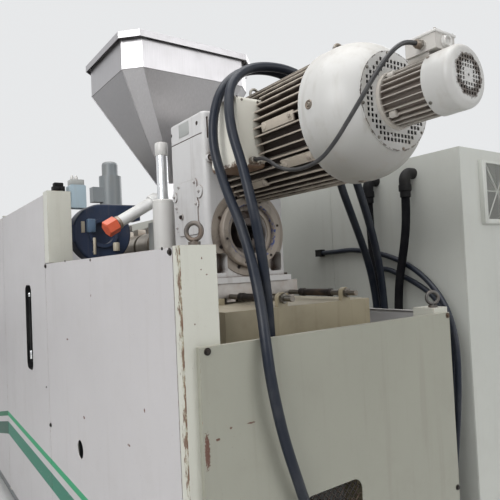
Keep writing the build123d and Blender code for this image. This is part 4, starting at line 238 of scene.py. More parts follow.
def age_and_shade_group() -> NodeTree:
    """Build the effect of age on paint: mottling, grime, streaks, scratches, chips and dust, and
    painted shade in crevices.

    Returns:
        The group, which gives a colour, a roughness and a height.
    """
    tree, graph, source, target = new_group(
        "age_and_shade",
        {"Place": "vector", "Facing": "vector", "Paint": (0.8, 0.8, 0.8),
         "Dirt And Shade": (0.25, 0.21, 0.16), "Rust": (0.26, 0.10, 0.04), "Grime": 0.3,
         "Streaks": 0.3, "Chips": 0.1, "Edge": 0.0, "Occlusion Shade": 0.0, "Dust": 0.2, "Gloss": 0.35},
        {"Colour": "Color", "Roughness": "Float", "Height": "Float"})
    get = source.outputs
    place = get["Place"]
    mottle = graph.noise(place, 2.2, 4.0)
    shade = graph.scaled(graph.minus(mottle, 0.5), 0.16, 1.0)
    base = graph.mix(1.0, get["Paint"], graph.node("CombineColor", shade, shade, shade).outputs[0],
                     "MULTIPLY")
    patches = graph.step(graph.noise(place, 5.5, 6.0, 0.65), 0.48, 0.78)
    drips = graph.step(graph.noise(graph.stretched(place, (26.0, 26.0, 1.6)), 1.0, 3.0), 0.52, 0.75)
    grime = graph.times(patches, get["Grime"])
    streaks = graph.times(drips, get["Streaks"])
    # The occlusion input is painted shade in corners and seams, added to the grime and streaks.
    dirt_and_shade = graph.plus(graph.plus(grime, streaks), get["Occlusion Shade"])
    dirt_and_shade = graph.math("MINIMUM", dirt_and_shade, 0.92)
    worn = graph.mix(dirt_and_shade, base, get["Dirt And Shade"])
    up = graph.parts(get["Facing"])[2]
    settled = graph.times(graph.step(up, 0.35, 0.95), get["Dust"])
    dusty = graph.mix(settled, worn, (0.50, 0.46, 0.39))
    speck = graph.noise(place, 48.0, 5.0, 0.7)
    limit = graph.minus(0.80, graph.times(get["Edge"], 0.26))
    limit = graph.minus(limit, graph.times(get["Chips"], 0.12))
    chip = graph.step(speck, limit, graph.plus(limit, 0.03))
    halo = graph.step(speck, graph.minus(limit, 0.07), limit)
    stained = graph.mix(graph.times(halo, 0.45), dusty, get["Rust"])
    chipped = graph.mix(chip, stained, get["Rust"])
    graph.put(target.inputs["Colour"], chipped)
    rough = graph.scaled(dirt_and_shade, 0.35, get["Gloss"])
    rough = graph.scaled(chip, 0.3, rough)
    graph.put(target.inputs["Roughness"], graph.scaled(settled, 0.3, rough))
    peel = graph.times(graph.noise(place, 260.0, 2.0), 0.12)
    graph.put(target.inputs["Height"], graph.minus(peel, chip))
    return tree


def brushing_group() -> NodeTree:
    """Build the fine lines and stains of bare metal.

    Returns:
        The group, which gives a colour, a roughness and a height.
    """
    tree, graph, source, target = new_group(
        "brushing",
        {"Place": "vector", "Grain": "vector", "Metal": (0.6, 0.6, 0.6),
         "Stain": (0.22, 0.13, 0.07), "Stains": 0.2, "Gloss": 0.3},
        {"Colour": "Color", "Roughness": "Float", "Height": "Float", "Clean": "Float"})
    get = source.outputs
    along = graph.stretched(get["Place"], get["Grain"])
    lines = graph.noise(along, 1.0, 3.0, 0.7)
    cloud = graph.noise(get["Place"], 9.0, 5.0, 0.6)
    shade = graph.scaled(graph.minus(lines, 0.5), 0.35, 1.0)
    tinted = graph.mix(1.0, get["Metal"],
                       graph.node("CombineColor", shade, shade, shade).outputs[0], "MULTIPLY")
    stain = graph.times(graph.step(cloud, 0.42, 0.72), get["Stains"])
    graph.put(target.inputs["Colour"], graph.mix(stain, tinted, get["Stain"]))
    rough = graph.scaled(lines, 0.18, get["Gloss"])
    graph.put(target.inputs["Roughness"], graph.scaled(stain, 0.4, rough))
    graph.put(target.inputs["Height"], lines)
    graph.put(target.inputs["Clean"], graph.minus(1.0, stain))
    return tree


class Shape:
    """Collects the geometry of one piece in metres."""

    def __init__(self) -> None:
        """Start with nothing."""
        self.mesh = bmesh.new()

    def rod(self, foot: Vector, way: Vector, radius: float, height: float, sides: int = 24,
            soften: float = 0.0, tip: float | None = None) -> list[BMVert]:
        """Add a closed round or many-sided bar.

        Args:
            foot: Middle of its first end.
            way: Direction that it points in.
            radius: Radius at its foot.
            height: Length.
            sides: Number of flats.
            soften: Bevel of its two rims.
            tip: Radius at its other end, the same as at its foot if None.

        Returns:
            The new vertices.
        """
        way = way.normalized()
        turn = way.to_track_quat("Z", "Y").to_matrix().to_4x4()
        matrix = Matrix.Translation(foot + way * height / 2) @ turn
        made = bmesh.ops.create_cone(
            self.mesh, cap_ends=True, segments=sides, radius1=radius,
            radius2=radius if tip is None else tip, depth=height, matrix=matrix)["verts"]
        if soften:
            rims = [edge for edge in {edge for vert in made for edge in vert.link_edges}
                    if abs((edge.verts[0].co - edge.verts[1].co).normalized().dot(way)) < 0.1]
            made = self.softened(rims, soften)
        return made

    def softened(self, edges: Iterable[BMEdge], offset: float,
                 segments: int = 2) -> list[BMVert]:
        """Bevel some edges and give the vertices of the bevel."""
        made = bmesh.ops.bevel(
            self.mesh, geom=list(edges), offset=offset, segments=segments, profile=0.5,
            affect="EDGES", material=-1)
        return made["verts"]

    def block(self, low: Vector, high: Vector, soften: float = 0.002,
              turn: Matrix | None = None) -> None:
        """Add a box with softened edges.

        Args:
            low: Its lowest corner.
            high: Its highest corner.
            soften: Bevel of all its edges.
            turn: Turn round its middle.
        """
        middle = (low + high) / 2
        scale = Matrix.Diagonal((*(high - low), 1.0))
        matrix = Matrix.Translation(middle) @ (turn or Matrix()) @ scale
        made = bmesh.ops.create_cube(self.mesh, size=1.0, matrix=matrix)["verts"]
        self.softened({edge for vert in made for edge in vert.link_edges}, soften)

    def bar(self, start: Vector, end: Vector, radius: float, sides: int = 6) -> None:
        """Add a bar from one point to another."""
        self.rod(start, end - start, radius, (end - start).length, sides)

    def plate(self, low: Point, high: Point, soften: float = 0.002) -> None:
        """Add a box between two corners in the machine's millimetres."""
        self.block(machine_point(*low), machine_point(*high), soften)

    def turned(self, outline: Sequence[Span], foot: Vector, way: Vector,
               steps: int = 32) -> None:
        """Spin an outline round an axis.

        Args:
            outline: Points as distance from the axis and height over the foot.
            foot: Start of the axis.
            way: Direction of the axis.
            steps: Faces in the turn.
        """
        way = way.normalized()
        side = way.orthogonal().normalized()
        ring = [self.mesh.verts.new(foot + side * radius + way * height)
                for radius, height in outline]
        edges = [self.mesh.edges.new((first, second)) for first, second in zip(ring, ring[1:])]
        if outline[0][0] and outline[-1][0]:
            edges.append(self.mesh.edges.new((ring[-1], ring[0])))
        bmesh.ops.spin(self.mesh, geom=ring + edges, cent=foot, axis=way, dvec=(0, 0, 0),
                       angle=2 * math.pi, steps=steps, use_merge=True)

    def hex_bolt(self, foot: Vector, way: Vector, radius: float, washer: float = 1.35) -> None:
        """Add a washer with a hexagon head on it.

        Args:
            foot: Point of the face that it is screwed to.
            way: Direction out of the face.
            radius: Radius over the head's corners.
            washer: Radius of the washer as a multiple of that.
        """
        way = way.normalized()
        self.rod(foot, way, radius * washer, radius * 0.22, 20, radius * 0.06)
        self.rod(foot + way * radius * 0.2, way, radius, radius * 0.75, 6, radius * 0.1)

    def socket_screw(self, foot: Vector, way: Vector, radius: float) -> None:
        """Add a cap screw with a socket in its head.

        Args:
            foot: Point of the face that it is screwed to.
            way: Direction out of the face.
            radius: Radius of the head.
        """
        head, mouth = radius * 0.9, radius * 0.55
        self.turned(((0.0, 0.0), (radius, 0.0), (radius, head * 0.9), (radius * 0.9, head),
                     (mouth, head), (mouth, head * 0.4), (0.0, head * 0.35)), foot, way, 12)

    def piece(self, name: str, body: str, finish: Material,
              smooth: float = 35.0) -> Object:
        """Close the mesh, make it an object and let it ride on its body.

        Args:
            name: Name of the piece.
            body: Body that it moves with.
            finish: Its material.
            smooth: Angle in degrees up to which its faces are shaded as one.

        Returns:
            The new object.
        """
        bmesh.ops.remove_doubles(self.mesh, verts=self.mesh.verts, dist=1e-6)
        bmesh.ops.recalc_face_normals(self.mesh, faces=self.mesh.faces)
        mesh = bpy.data.meshes.new(name)
        self.mesh.to_mesh(mesh)
        self.mesh.free()
        mesh.shade_smooth()
        mesh.set_sharp_from_angle(angle=math.radians(smooth))
        mesh.materials.append(finish)
        made = bpy.data.objects.new(name, mesh)
        bpy.context.scene.collection.objects.link(made)
        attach(made, body)
        LOG.info("piece %s, %d faces", name, len(mesh.polygons))
        return made


def ring_points(centre: Vector, axis: Axis, radius: float, count: int,
                start: float = 0.0) -> list[tuple[Vector, Vector]]:
    """Places on a circle.

    Args:
        centre: Middle of the circle.
        axis: Axis of the circle.
        radius: Radius of the circle.
        count: Number of places.
        start: Angle of the first one in degrees.

    Returns:
        Each place and the direction out from the middle.
    """
    places = []
    zero = Vector((0, 1, 0)) if axis is Axis.X else Vector((1, 0, 0))
    for index in range(count):
        turn = Matrix.Rotation(math.radians(start + 360.0 * index / count), 3, axis.vector)
        places.append((centre + turn @ zero * radius, turn @ zero))
    return places


def round_outline(radius: float, height: float, bead: float, count: int) -> list[Span]:
    """Outline of a ring with a round section.

    Args:
        radius: Radius of the ring.
        height: Height of its middle.
        bead: Radius of its section.
        count: Number of points.

    Returns:
        The points as distance from the ring's axis and height.
    """
    angles = [2 * math.pi * step / count for step in range(count)]
    return [(radius + bead * math.cos(angle), height + bead * math.sin(angle))
            for angle in angles]


def motor_place(back: float) -> Vector:
    """Point on the motor's axis, given in metres behind the rear panel."""
    return Vector((REAR + back, MOTOR_AXIS.y, MOTOR_AXIS.z))


GROUPS: dict[str, NodeTree] = {}


def shared_group(name: str) -> NodeTree:
    """Effect group of that name, built once."""
    if name not in GROUPS:
        GROUPS[name] = {"age_and_shade": age_and_shade_group, "brushing": brushing_group}[name]()
    return GROUPS[name]


def new_material(name: str) -> tuple[Material, Graph, Node]:
    """Start a material with one Principled shader.

    Args:
        name: Name of the material.

    Returns:
        The material, its graph and its shader node.
    """
    material = bpy.data.materials.new(name)
    material.use_nodes = True
    return material, Graph(material.node_tree), material.node_tree.nodes["Principled BSDF"]


def place_effect(graph: Graph, name: str, values: dict[str, object]) -> Sockets:
    """Place a shared effect in a material.

    Args:
        graph: Graph of the material.
        name: Name of the effect.
        values: Values or sockets for its inputs, by name.

    Returns:
        The outputs of the effect.
    """
    effect = graph.node("Group")
    effect.node_tree = shared_group(name)
    for label, value in values.items():
        graph.put(effect.inputs[label], value)
    return effect.outputs


def set_relief(graph: Graph, shader: Node, height: object, strength: float, depth: float,
               normal: object = None) -> None:
    """Give a shader its fine relief.

    Args:
        graph: Graph of the material.
        shader: Its shader node.
        height: Socket of the height.
        strength: Strength of the bump.
        depth: Depth of the relief in metres.
        normal: Normal that the relief starts from.
    """
    bump = graph.node("Bump", strength, depth)
    graph.put(bump.inputs["Height"], height)
    graph.put(bump.inputs["Normal"], normal)
    graph.put(shader.inputs["Normal"], bump.outputs[0])


@dataclass(frozen=True)
class Paint:
    """Paint on sheet, tube or casting, with the wear that it has picked up and painted shade in its
    crevices.

    Attributes:
        name: Name of the material.
        colour: Colour of the clean paint.
        grime: Amount of dark dirt in patches.
        streaks: Amount of dirt in runs.
        chips: Amount of chipped paint all over.
        dust: Amount of dust on faces that look up.
        gloss: Roughness of the clean paint.
        rounding: Radius of the softened edges, in metres.
        edge_wear: Amount of bare rusty metal along the edges.
        dirt: Colour of the dirt, and of the painted shade in corners and seams.
        occlusion_shade_amount: Amount of painted shade in corners and seams, from ambient
            occlusion.
        seam: Reach of that painted shade, in metres.
        bump: Height of the relief, in metres.
        shine: Strength of its reflections.
        marks: Scratches as place along the face, height, half length and half height.
        across: Axis of the marks' first measure, 0 for X and 1 for Y.
    """

    name: str
    colour: Colour
    grime: float = 0.25
    streaks: float = 0.2
    chips: float = 0.1
    dust: float = 0.25
    gloss: float = 0.38
    rounding: float = 0.002
    edge_wear: float = 0.5
    dirt: Colour = (0.25, 0.21, 0.16)
    occlusion_shade_amount: float = 0.0
    seam: float = 0.02
    bump: float = 0.0006
    shine: float = 0.5
    marks: tuple[tuple[float, float, float, float], ...] = ()
    across: int = 0

    def coloured(self, graph: Graph, place: NodeSocket) -> object:
        """Colour of the clean paint, which a finish with a pattern works out from the place."""
        return self.colour

    def marked(self, graph: Graph, place: NodeSocket) -> object:
        """Colour with the scratches in it."""
        colour = self.coloured(graph, place)
        if not self.marks:
            return colour
        parts = graph.parts(place)
        rough = graph.noise(place, 170.0, 6.0, 0.8)
        for along, height, half, rise in self.marks:
            first = graph.math("DIVIDE", graph.minus(parts[self.across], along), half)
            second = graph.math("DIVIDE", graph.minus(parts[2], height), rise)
            off = graph.plus(graph.math("POWER", first, 2.0), graph.math("POWER", second, 2.0))
            level = graph.scaled(graph.step(off, 1.0, 0.0), 0.30, rough)
            colour = graph.mix(graph.step(level, 0.66, 0.70), colour, (0.11, 0.045, 0.028))
        return colour

    def build(self) -> Material:
        """Make the material.

        Returns:
            A material for a CAD node or a mesh.
        """
        material, graph, shader = new_material(self.name)
        place = graph.place()
        geometry = graph.node("NewGeometry")
        rounded = graph.node("Bevel", self.rounding, samples=4).outputs[0]
        turned = graph.node("VectorMath", rounded, geometry.outputs["Normal"],
                            operation="DOT_PRODUCT").outputs["Value"]
        edge = graph.times(graph.step(turned, 0.995, 0.86), self.edge_wear)
        occlusion_shade = 0.0
        # Painted shade: ambient occlusion darkens corners and seams towards the dirt colour.
        if self.occlusion_shade_amount:
            shut = graph.node("AmbientOcclusion", (1.0, 1.0, 1.0), self.seam, samples=6)
            occlusion_shade = graph.times(graph.step(shut.outputs["AO"], 0.85, 0.35), self.occlusion_shade_amount)
        aged_and_shaded = place_effect(graph, "age_and_shade", {
            "Place": place, "Facing": geometry.outputs["Normal"],
            "Paint": self.marked(graph, place), "Dirt And Shade": self.dirt, "Grime": self.grime,
            "Streaks": self.streaks, "Chips": self.chips, "Edge": edge, "Occlusion Shade": occlusion_shade,
            "Dust": self.dust, "Gloss": self.gloss})
        graph.put(shader.inputs["Base Color"], aged_and_shaded["Colour"])
        graph.put(shader.inputs["Roughness"], aged_and_shaded["Roughness"])
        shader.inputs["Specular IOR Level"].default_value = self.shine
        set_relief(graph, shader, aged_and_shaded["Height"], 0.4, self.bump, rounded)
        return material


@dataclass(frozen=True)
class StripedPaint(Paint):
    """Paint with a thin and a broad stripe, both sloping along the operator side.

    Attributes:
        kink: Where the stripes change their slope, x.
        level: Height of the thin stripe's upper edge at the kink.
        thin: Colour of the thin stripe.
        broad: Colour of the broad stripe.
        slope_rear: Rise of the stripes in a metre behind the kink.
        slope_front: Rise of the stripes in a metre before the kink.
    """

    kink: float = REAR - 2.642
    level: float = 0.702
    thin: Colour = (0.008, 0.30, 0.13)
    broad: Colour = (0.014, 0.165, 0.105)
    slope_rear: float = -0.0175
    slope_front: float = 0.2157

    def coloured(self, graph: Graph, place: NodeSocket) -> object:
        """Paint with the stripes on its outer skin."""
        parts = graph.parts(place)
        along = graph.minus(parts[0], self.kink)
        back = graph.times(graph.math("MAXIMUM", along, 0.0), self.slope_rear)
        ahead = graph.times(graph.math("MINIMUM", along, 0.0), self.slope_front)
        line = graph.plus(graph.plus(back, ahead), self.level)
        below = graph.minus(line, parts[2])
        skin = graph.math("LESS_THAN", parts[1], LEFT + 0.0012)
        wear = graph.noise(place, 70.0, 4.0, 0.7)
        intact = graph.times(skin, graph.step(wear, 0.26, 0.34))
        colour = self.colour
        for edge, width, tone in ((0.0, 0.034, self.thin), (0.071, 0.086, self.broad)):
            inside = graph.minus(below, edge)
            band = graph.times(graph.step(inside, 0.0, 0.0012),
                               graph.step(inside, width, width - 0.0012))
            deep = tuple(0.45 * channel for channel in tone)
            shade = graph.mix(graph.math("LESS_THAN", along, 0.0), tone, deep)
            colour = graph.mix(graph.times(band, intact), colour, shade)
        return colour


@dataclass(frozen=True)
class EdgeRustPaint(Paint):
    """Paint that rust has lifted along an upright strip of the operator side.

    Attributes:
        middle: Middle of the strip, x.
        reach: Half of the width of the rust.
        line: Painted shadow line in the gap beside the strip, x.
    """

    middle: float = REAR - 0.022
    reach: float = 0.030
    line: float = REAR - 0.0022

    def coloured(self, graph: Graph, place: NodeSocket) -> object:
        """Paint with brown and olive spots and the painted shadow line of the gap."""
        parts = graph.parts(place)
        skin = graph.math("LESS_THAN", parts[1], LEFT + 0.003)
        off = graph.math("ABSOLUTE", graph.minus(parts[0], self.middle))
        near = graph.times(graph.step(off, self.reach, 0.0), skin)
        blots = graph.noise(graph.stretched(place, (70.0, 70.0, 26.0)), 1.0, 8.0, 0.78)
        worn = graph.step(graph.scaled(near, 0.10, blots), 0.585, 0.625)
        film = graph.step(graph.scaled(near, 0.12, blots), 0.54, 0.60)
        colour = graph.mix(graph.times(film, near), self.colour, (0.36, 0.34, 0.24))
        colour = graph.mix(graph.times(worn, graph.step(near, 0.0, 0.2)), colour,
                           (0.13, 0.065, 0.035))
        # Painted shadow: a dark line where the strip meets the gap to the rear panel.
        aside = graph.math("ABSOLUTE", graph.minus(parts[0], self.line))
        dark = graph.times(graph.step(aside, 0.0018, 0.0010), skin)
        return graph.mix(dark, colour, (0.05, 0.042, 0.035))


@dataclass(frozen=True)
class FinPaint(Paint):
    """Paint of a finned motor, pale on the tips of the fins and dark between them with painted
    shade and grime.

    Attributes:
        tip: Radius at the tips of the fins.
        deep: Colour of the painted shade and grime between them.
        clean: Colour of what stands out beyond the fins.
    """

    tip: float = 0.213
    deep: Colour = (0.030, 0.018, 0.013)
    clean: Colour = (0.30, 0.26, 0.22)

    def coloured(self, graph: Graph, place: NodeSocket) -> object:
        """Painted shade and grime that fill the valleys and thin towards the tips."""
        _, radius = graph.reach(place, (MOTOR_AXIS.y, MOTOR_AXIS.z))
        drift = graph.scaled(graph.noise(place, 14.0, 4.0, 0.65), 0.016, -0.008)
        height = graph.plus(radius, drift)
        # Painted shade and grime: the valleys between the fins darken to the deep colour.
        raised = graph.step(height, self.tip - 0.009, self.tip)
        finned = graph.mix(raised, self.deep, self.colour)
        return graph.mix(graph.step(radius, self.tip + 0.004, self.tip + 0.010), finned, self.clean)


@dataclass(frozen=True)
class RingPaint(Paint):
    """Paint with a worn or marked ring round an axis along X, and painted shade towards its
    underside.

    Attributes:
        centre: Place of the axis, y and z.
        start: Where the ring starts, x.
        inner: Radius where the ring is strongest.
        outer: Radius where it ends.
        tone: Colour of the ring.
        share: Level of the noise over which the ring shows.
        underside_shade: Amount of painted shade on the underside.
    """

    centre: Span = (MOTOR_AXIS.y, MOTOR_AXIS.z)
    start: float = REAR + 0.2605
    inner: float = 0.151
    outer: float = 0.158
    tone: Colour = (0.07, 0.055, 0.045)
    share: float = 0.55
    underside_shade: float = 0.0

    def coloured(self, graph: Graph, place: NodeSocket) -> object:
        """Paint with the ring broken up by noise."""
        off, radius = graph.reach(place, self.centre)
        width = self.outer - self.inner
        near = graph.step(graph.math("ABSOLUTE", graph.minus(radius, self.inner)), width, 0.0)
        level = graph.scaled(near, 0.25, graph.noise(place, 34.0, 6.0, 0.75))
        blots = graph.times(graph.step(level, self.share + 0.15, self.share + 0.21),
                            graph.step(near, 0.0, 0.15))
        beyond = graph.math("GREATER_THAN", graph.parts(place)[0], self.start)
        # Painted shade: the paint darkens below the axis, towards its underside.
        height = graph.parts(off)[2]
        under = graph.times(graph.step(height, -0.03, -0.21), self.underside_shade)
        colour = graph.mix(under, self.colour, (0.16, 0.15, 0.13))
        return graph.mix(graph.times(blots, beyond), colour, self.tone)


@dataclass(frozen=True)
class FootRustPaint(Paint):
    """Paint with rust that has run down to its lower edge.

    Attributes:
        foot: Height of the lower edge.
        reach: Height of the rust over it.
    """

    foot: float = 1.953
    reach: float = 0.05

    def coloured(self, graph: Graph, place: NodeSocket) -> object:
        """Paint that turns brown towards its foot."""
        height = graph.parts(place)[2]
        blots = graph.noise(place, 32.0, 5.0, 0.7)
        edge = graph.scaled(blots, self.reach * 1.6, self.foot - self.reach * 0.4)
        return graph.mix(graph.step(height, edge, graph.minus(edge, 0.012)),
                         self.colour, (0.13, 0.075, 0.045))


@dataclass(frozen=True)
class Metal:
    """Bare metal with its machining or brushing lines.

    Attributes:
        name: Name of the material.
        colour: Colour of the clean metal.
        grain: Frequency of the lines along each axis.
        gloss: Roughness between the lines.
        stains: Amount of rust or oil stains.
        stain: Colour of the stains.
        rounding: Radius of the softened edges, in metres.
        bump: Height of the relief, in metres.
    """

    name: str
    colour: Colour
    grain: Point = (40.0, 40.0, 40.0)
    gloss: float = 0.28
    stains: float = 0.25
    stain: Colour = (0.22, 0.13, 0.07)
    rounding: float = 0.0008
    bump: float = 0.0001

    def coloured(self, graph: Graph, place: NodeSocket) -> object:
        """Colour of the clean metal, which a finish with a pattern works out from the place."""
        return self.colour

    def build(self) -> Material:
        """Make the material.

        Returns:
            A material for a CAD node or a mesh.
        """
        material, graph, shader = new_material(self.name)
        place = graph.place()
        drawn = place_effect(graph, "brushing", {
            "Place": place, "Grain": self.grain, "Metal": self.coloured(graph, place),
            "Stain": self.stain, "Stains": self.stains, "Gloss": self.gloss})
        for label, value in (("Base Color", "Colour"), ("Roughness", "Roughness"),
                             ("Metallic", "Clean")):
            graph.put(shader.inputs[label], drawn[value])
        rounded = graph.node("Bevel", self.rounding, samples=4).outputs[0]
        set_relief(graph, shader, drawn["Height"], 0.25, self.bump, rounded)
        return material


@dataclass(frozen=True)
class SidedMetal(Metal):
    """Metal that is dark on the operator side of the machine and pale over the cabinet.

    Attributes:
        line: Where the colour changes, y.
        far: Colour beyond the line.
    """

    line: float = LEFT + 1.35
    far: Colour = (0.55, 0.55, 0.54)

    def coloured(self, graph: Graph, place: NodeSocket) -> object:
        """Both colours with the line between them."""
        beyond = graph.math("GREATER_THAN", graph.parts(place)[1], self.line)
        return graph.mix(beyond, self.colour, self.far)


@dataclass(frozen=True)
class Jacket:
    """Rubber or plastic of a cable, a conduit or a moulded grip.

    Attributes:
        name: Name of the material.
        colour: Colour of the clean jacket.
        gloss: Roughness.
        rings: Rings in a metre of a corrugated conduit, 0 for a smooth one.
        dust: Amount of pale dust.
        shine: Strength of its reflections.
    """

    name: str
    colour: Colour
    gloss: float = 0.45
    rings: float = 0.0
    dust: float = 0.05
    shine: float = 0.5

    def build(self) -> Material:
        """Make the material.

        Returns:
            A material for a cable or a moulding.
        """
        material, graph, shader = new_material(self.name)
        place = graph.place()
        cloud = graph.step(graph.noise(place, 7.0, 5.0, 0.65), 0.38, 0.75)
        powder = graph.times(cloud, self.dust)
        graph.put(shader.inputs["Base Color"], graph.mix(powder, self.colour, (0.42, 0.40, 0.36)))
        graph.put(shader.inputs["Roughness"], graph.scaled(powder, 0.4, self.gloss))
        shader.inputs["Specular IOR Level"].default_value = self.shine
        height = graph.noise(place, 300.0, 2.0)
        if self.rings:
            along = graph.parts(place)[2]
            wave = graph.math("SINE", graph.times(along, 2 * math.pi * self.rings))
            height = graph.scaled(wave, 4.0, height)
        set_relief(graph, shader, height, 0.5, 0.0006)
        return material


def dress(node: str, finish: Material) -> None:
    """Give a CAD node its finish.

    Args:
        node: Name of the CAD node.
        finish: Material for all of it.
    """
    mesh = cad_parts[node].data
    mesh.materials.clear()
    mesh.materials.append(finish)
    LOG.info("dressed %s in %s", node, finish.name)


@dataclass
class Studio:
    """Camera, lamps and floor.

    Attributes:
        eye: Place of the camera.
        right: Direction to the right of its picture.
        up: Direction to the top of its picture.
        back: Direction from what it looks at to the camera.
        lens: Focal length in millimetres.
        floor_size: Edge of the square floor.
    """

    eye: Point = (2.9105, -1.71015, 1.6)
    right: Point = (0.5735, 0.8179, -0.0466)
    up: Point = (0.0549, 0.0183, 0.9983)
    back: Point = (0.8174, -0.5752, -0.0344)
    lens: float = 37.45
    floor_size: float = 60.0

    def camera(self) -> None:
        """Put the camera where the photograph was taken."""
        data = bpy.data.cameras.new("camera")
        data.lens = self.lens
        data.clip_start = 0.05
        data.clip_end = 200.0
        eye = bpy.data.objects.new("camera", data)
        columns = (Vector(self.right), Vector(self.up), Vector(self.back))
        matrix = Matrix([[axis[row] for axis in columns] for row in range(3)]).to_4x4()
        eye.matrix_world = Matrix.Translation(self.eye) @ matrix
        bpy.context.scene.collection.objects.link(eye)
        bpy.context.scene.camera = eye

    def floor(self) -> None:
        """Lay a plain pale floor under the machine."""
        shape = bmesh.new()
        bmesh.ops.create_grid(shape, x_segments=1, y_segments=1, size=self.floor_size / 2)
        mesh = bpy.data.meshes.new("floor")
        shape.to_mesh(mesh)
        shape.free()
        floor = bpy.data.objects.new("floor", mesh)
        bpy.context.scene.collection.objects.link(floor)
        material, graph, shader = new_material("floor_pale")
        cloud = graph.noise(graph.place(), 0.8, 3.0)
        graph.put(shader.inputs["Base Color"],
                  graph.mix(cloud, (0.74, 0.74, 0.73), (0.78, 0.78, 0.77)))
        graph.put(shader.inputs["Roughness"], 0.8)
        far = graph.node("VectorMath", graph.place(), operation="LENGTH").outputs["Value"]
        seen = graph.times(graph.step(far, 3.5, 11.0),
                           graph.node("LightPath").outputs["Is Camera Ray"])
        graph.put(shader.inputs["Emission Color"], (0.80, 0.81, 0.82))
        graph.put(shader.inputs["Emission Strength"], graph.times(seen, 0.55))
        mesh.materials.append(material)

    def lamp(self, name: str, place: Point, aim: Point, size: float, power: float) -> None:
        """Hang one soft lamp.

        Args:
            name: Name of the lamp.
            place: Where it hangs.
            aim: Point that it looks at.
            size: Edge of its square.
            power: Power in watts.
        """
        data = bpy.data.lights.new(name, "AREA")
        data.shape = "SQUARE"
        data.size = size
        data.energy = power
        lamp = bpy.data.objects.new(name, data)
        lamp.location = place
        lamp.rotation_euler = (Vector(aim) - Vector(place)).to_track_quat("-Z", "Y").to_euler()
        bpy.context.scene.collection.objects.link(lamp)

    def lights(self) -> None:
        """Light the machine softly from above, with a pale world round it."""
        self.lamp("lamp_above", (1.4, -1.0, 6.8), (0.3, 0.0, 1.0), 5.0, 260.0)
        self.lamp("lamp_operator", (3.4, -6.0, 4.4), (0.6, -0.6, 1.2), 3.0, 205.0)
        self.lamp("lamp_drive_end", (9.0, 3.6, 4.6), (1.0, 0.0, 1.8), 4.5, 190.0)
        self.lamp("lamp_far", (-3.5, 6.0, 5.0), (0.0, 0.5, 1.0), 4.0, 150.0)
        world = bpy.data.worlds.new("world")
        world.use_nodes = True
        bpy.context.scene.world = world
        graph = Graph(world.node_tree)
        seen = world.node_tree.nodes["Background"]
        graph.put(seen.inputs["Color"], (0.86, 0.87, 0.88))
        graph.put(seen.inputs["Strength"], 0.40)
        shown = graph.node("Background", (0.80, 0.81, 0.82), 1.0)
        path = graph.node("LightPath")
        rays = graph.math("MAXIMUM", path.outputs["Is Camera Ray"], path.outputs["Is Glossy Ray"])
        rays = graph.math("MAXIMUM", rays, path.outputs["Is Transmission Ray"])
        both = graph.node("MixShader", rays, seen.outputs[0], shown.outputs[0])
        output = world.node_tree.nodes["World Output"]
        graph.put(output.inputs["Surface"], both.outputs[0])

    def build(self) -> None:
        """Set the picture's colour handling and make everything."""
        bpy.context.scene.view_settings.view_transform = "Standard"
        self.camera()
        self.floor()
        self.lights()


@dataclass
class Cable:
    """A cable or conduit between two glands.

    Attributes:
        node: CAD node that it stands for.
        body: Body that it rides on.
        slot: Material slot of the record.
        diameter: Outer diameter in metres.
        length: Real length in metres; not used.
        route: Control points in millimetres in the machine's own measure.
    """

    node: str
    body: str
    slot: str
    diameter: float
    length: float
    route: Sequence[Point]

    def build(self, finish: Material) -> Object:
        """Args:
            finish: Material of the jacket.

        Returns:
            The curve object.
        """
        curve = bpy.data.curves.new(self.node + "_line", "CURVE")
        curve.dimensions = "3D"
        curve.bevel_depth = self.diameter / 2
        curve.bevel_resolution = 6
        curve.resolution_u = 10
        curve.use_fill_caps = True
        spline = curve.splines.new("NURBS")
        points = [machine_point(*point) for point in self.route]
        spline.points.add(len(points) - 1)
        for control, point in zip(spline.points, points):
            control.co = (*point, 1.0)
        spline.order_u = 3
        spline.use_endpoint_u = True
        curve.materials.append(finish)
        cable = bpy.data.objects.new(self.node + "_jacket", curve)
        bpy.context.scene.collection.objects.link(cable)
        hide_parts(self.node)
        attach(cable, self.body)
        LOG.info("cable %s", self.node)
        return cable


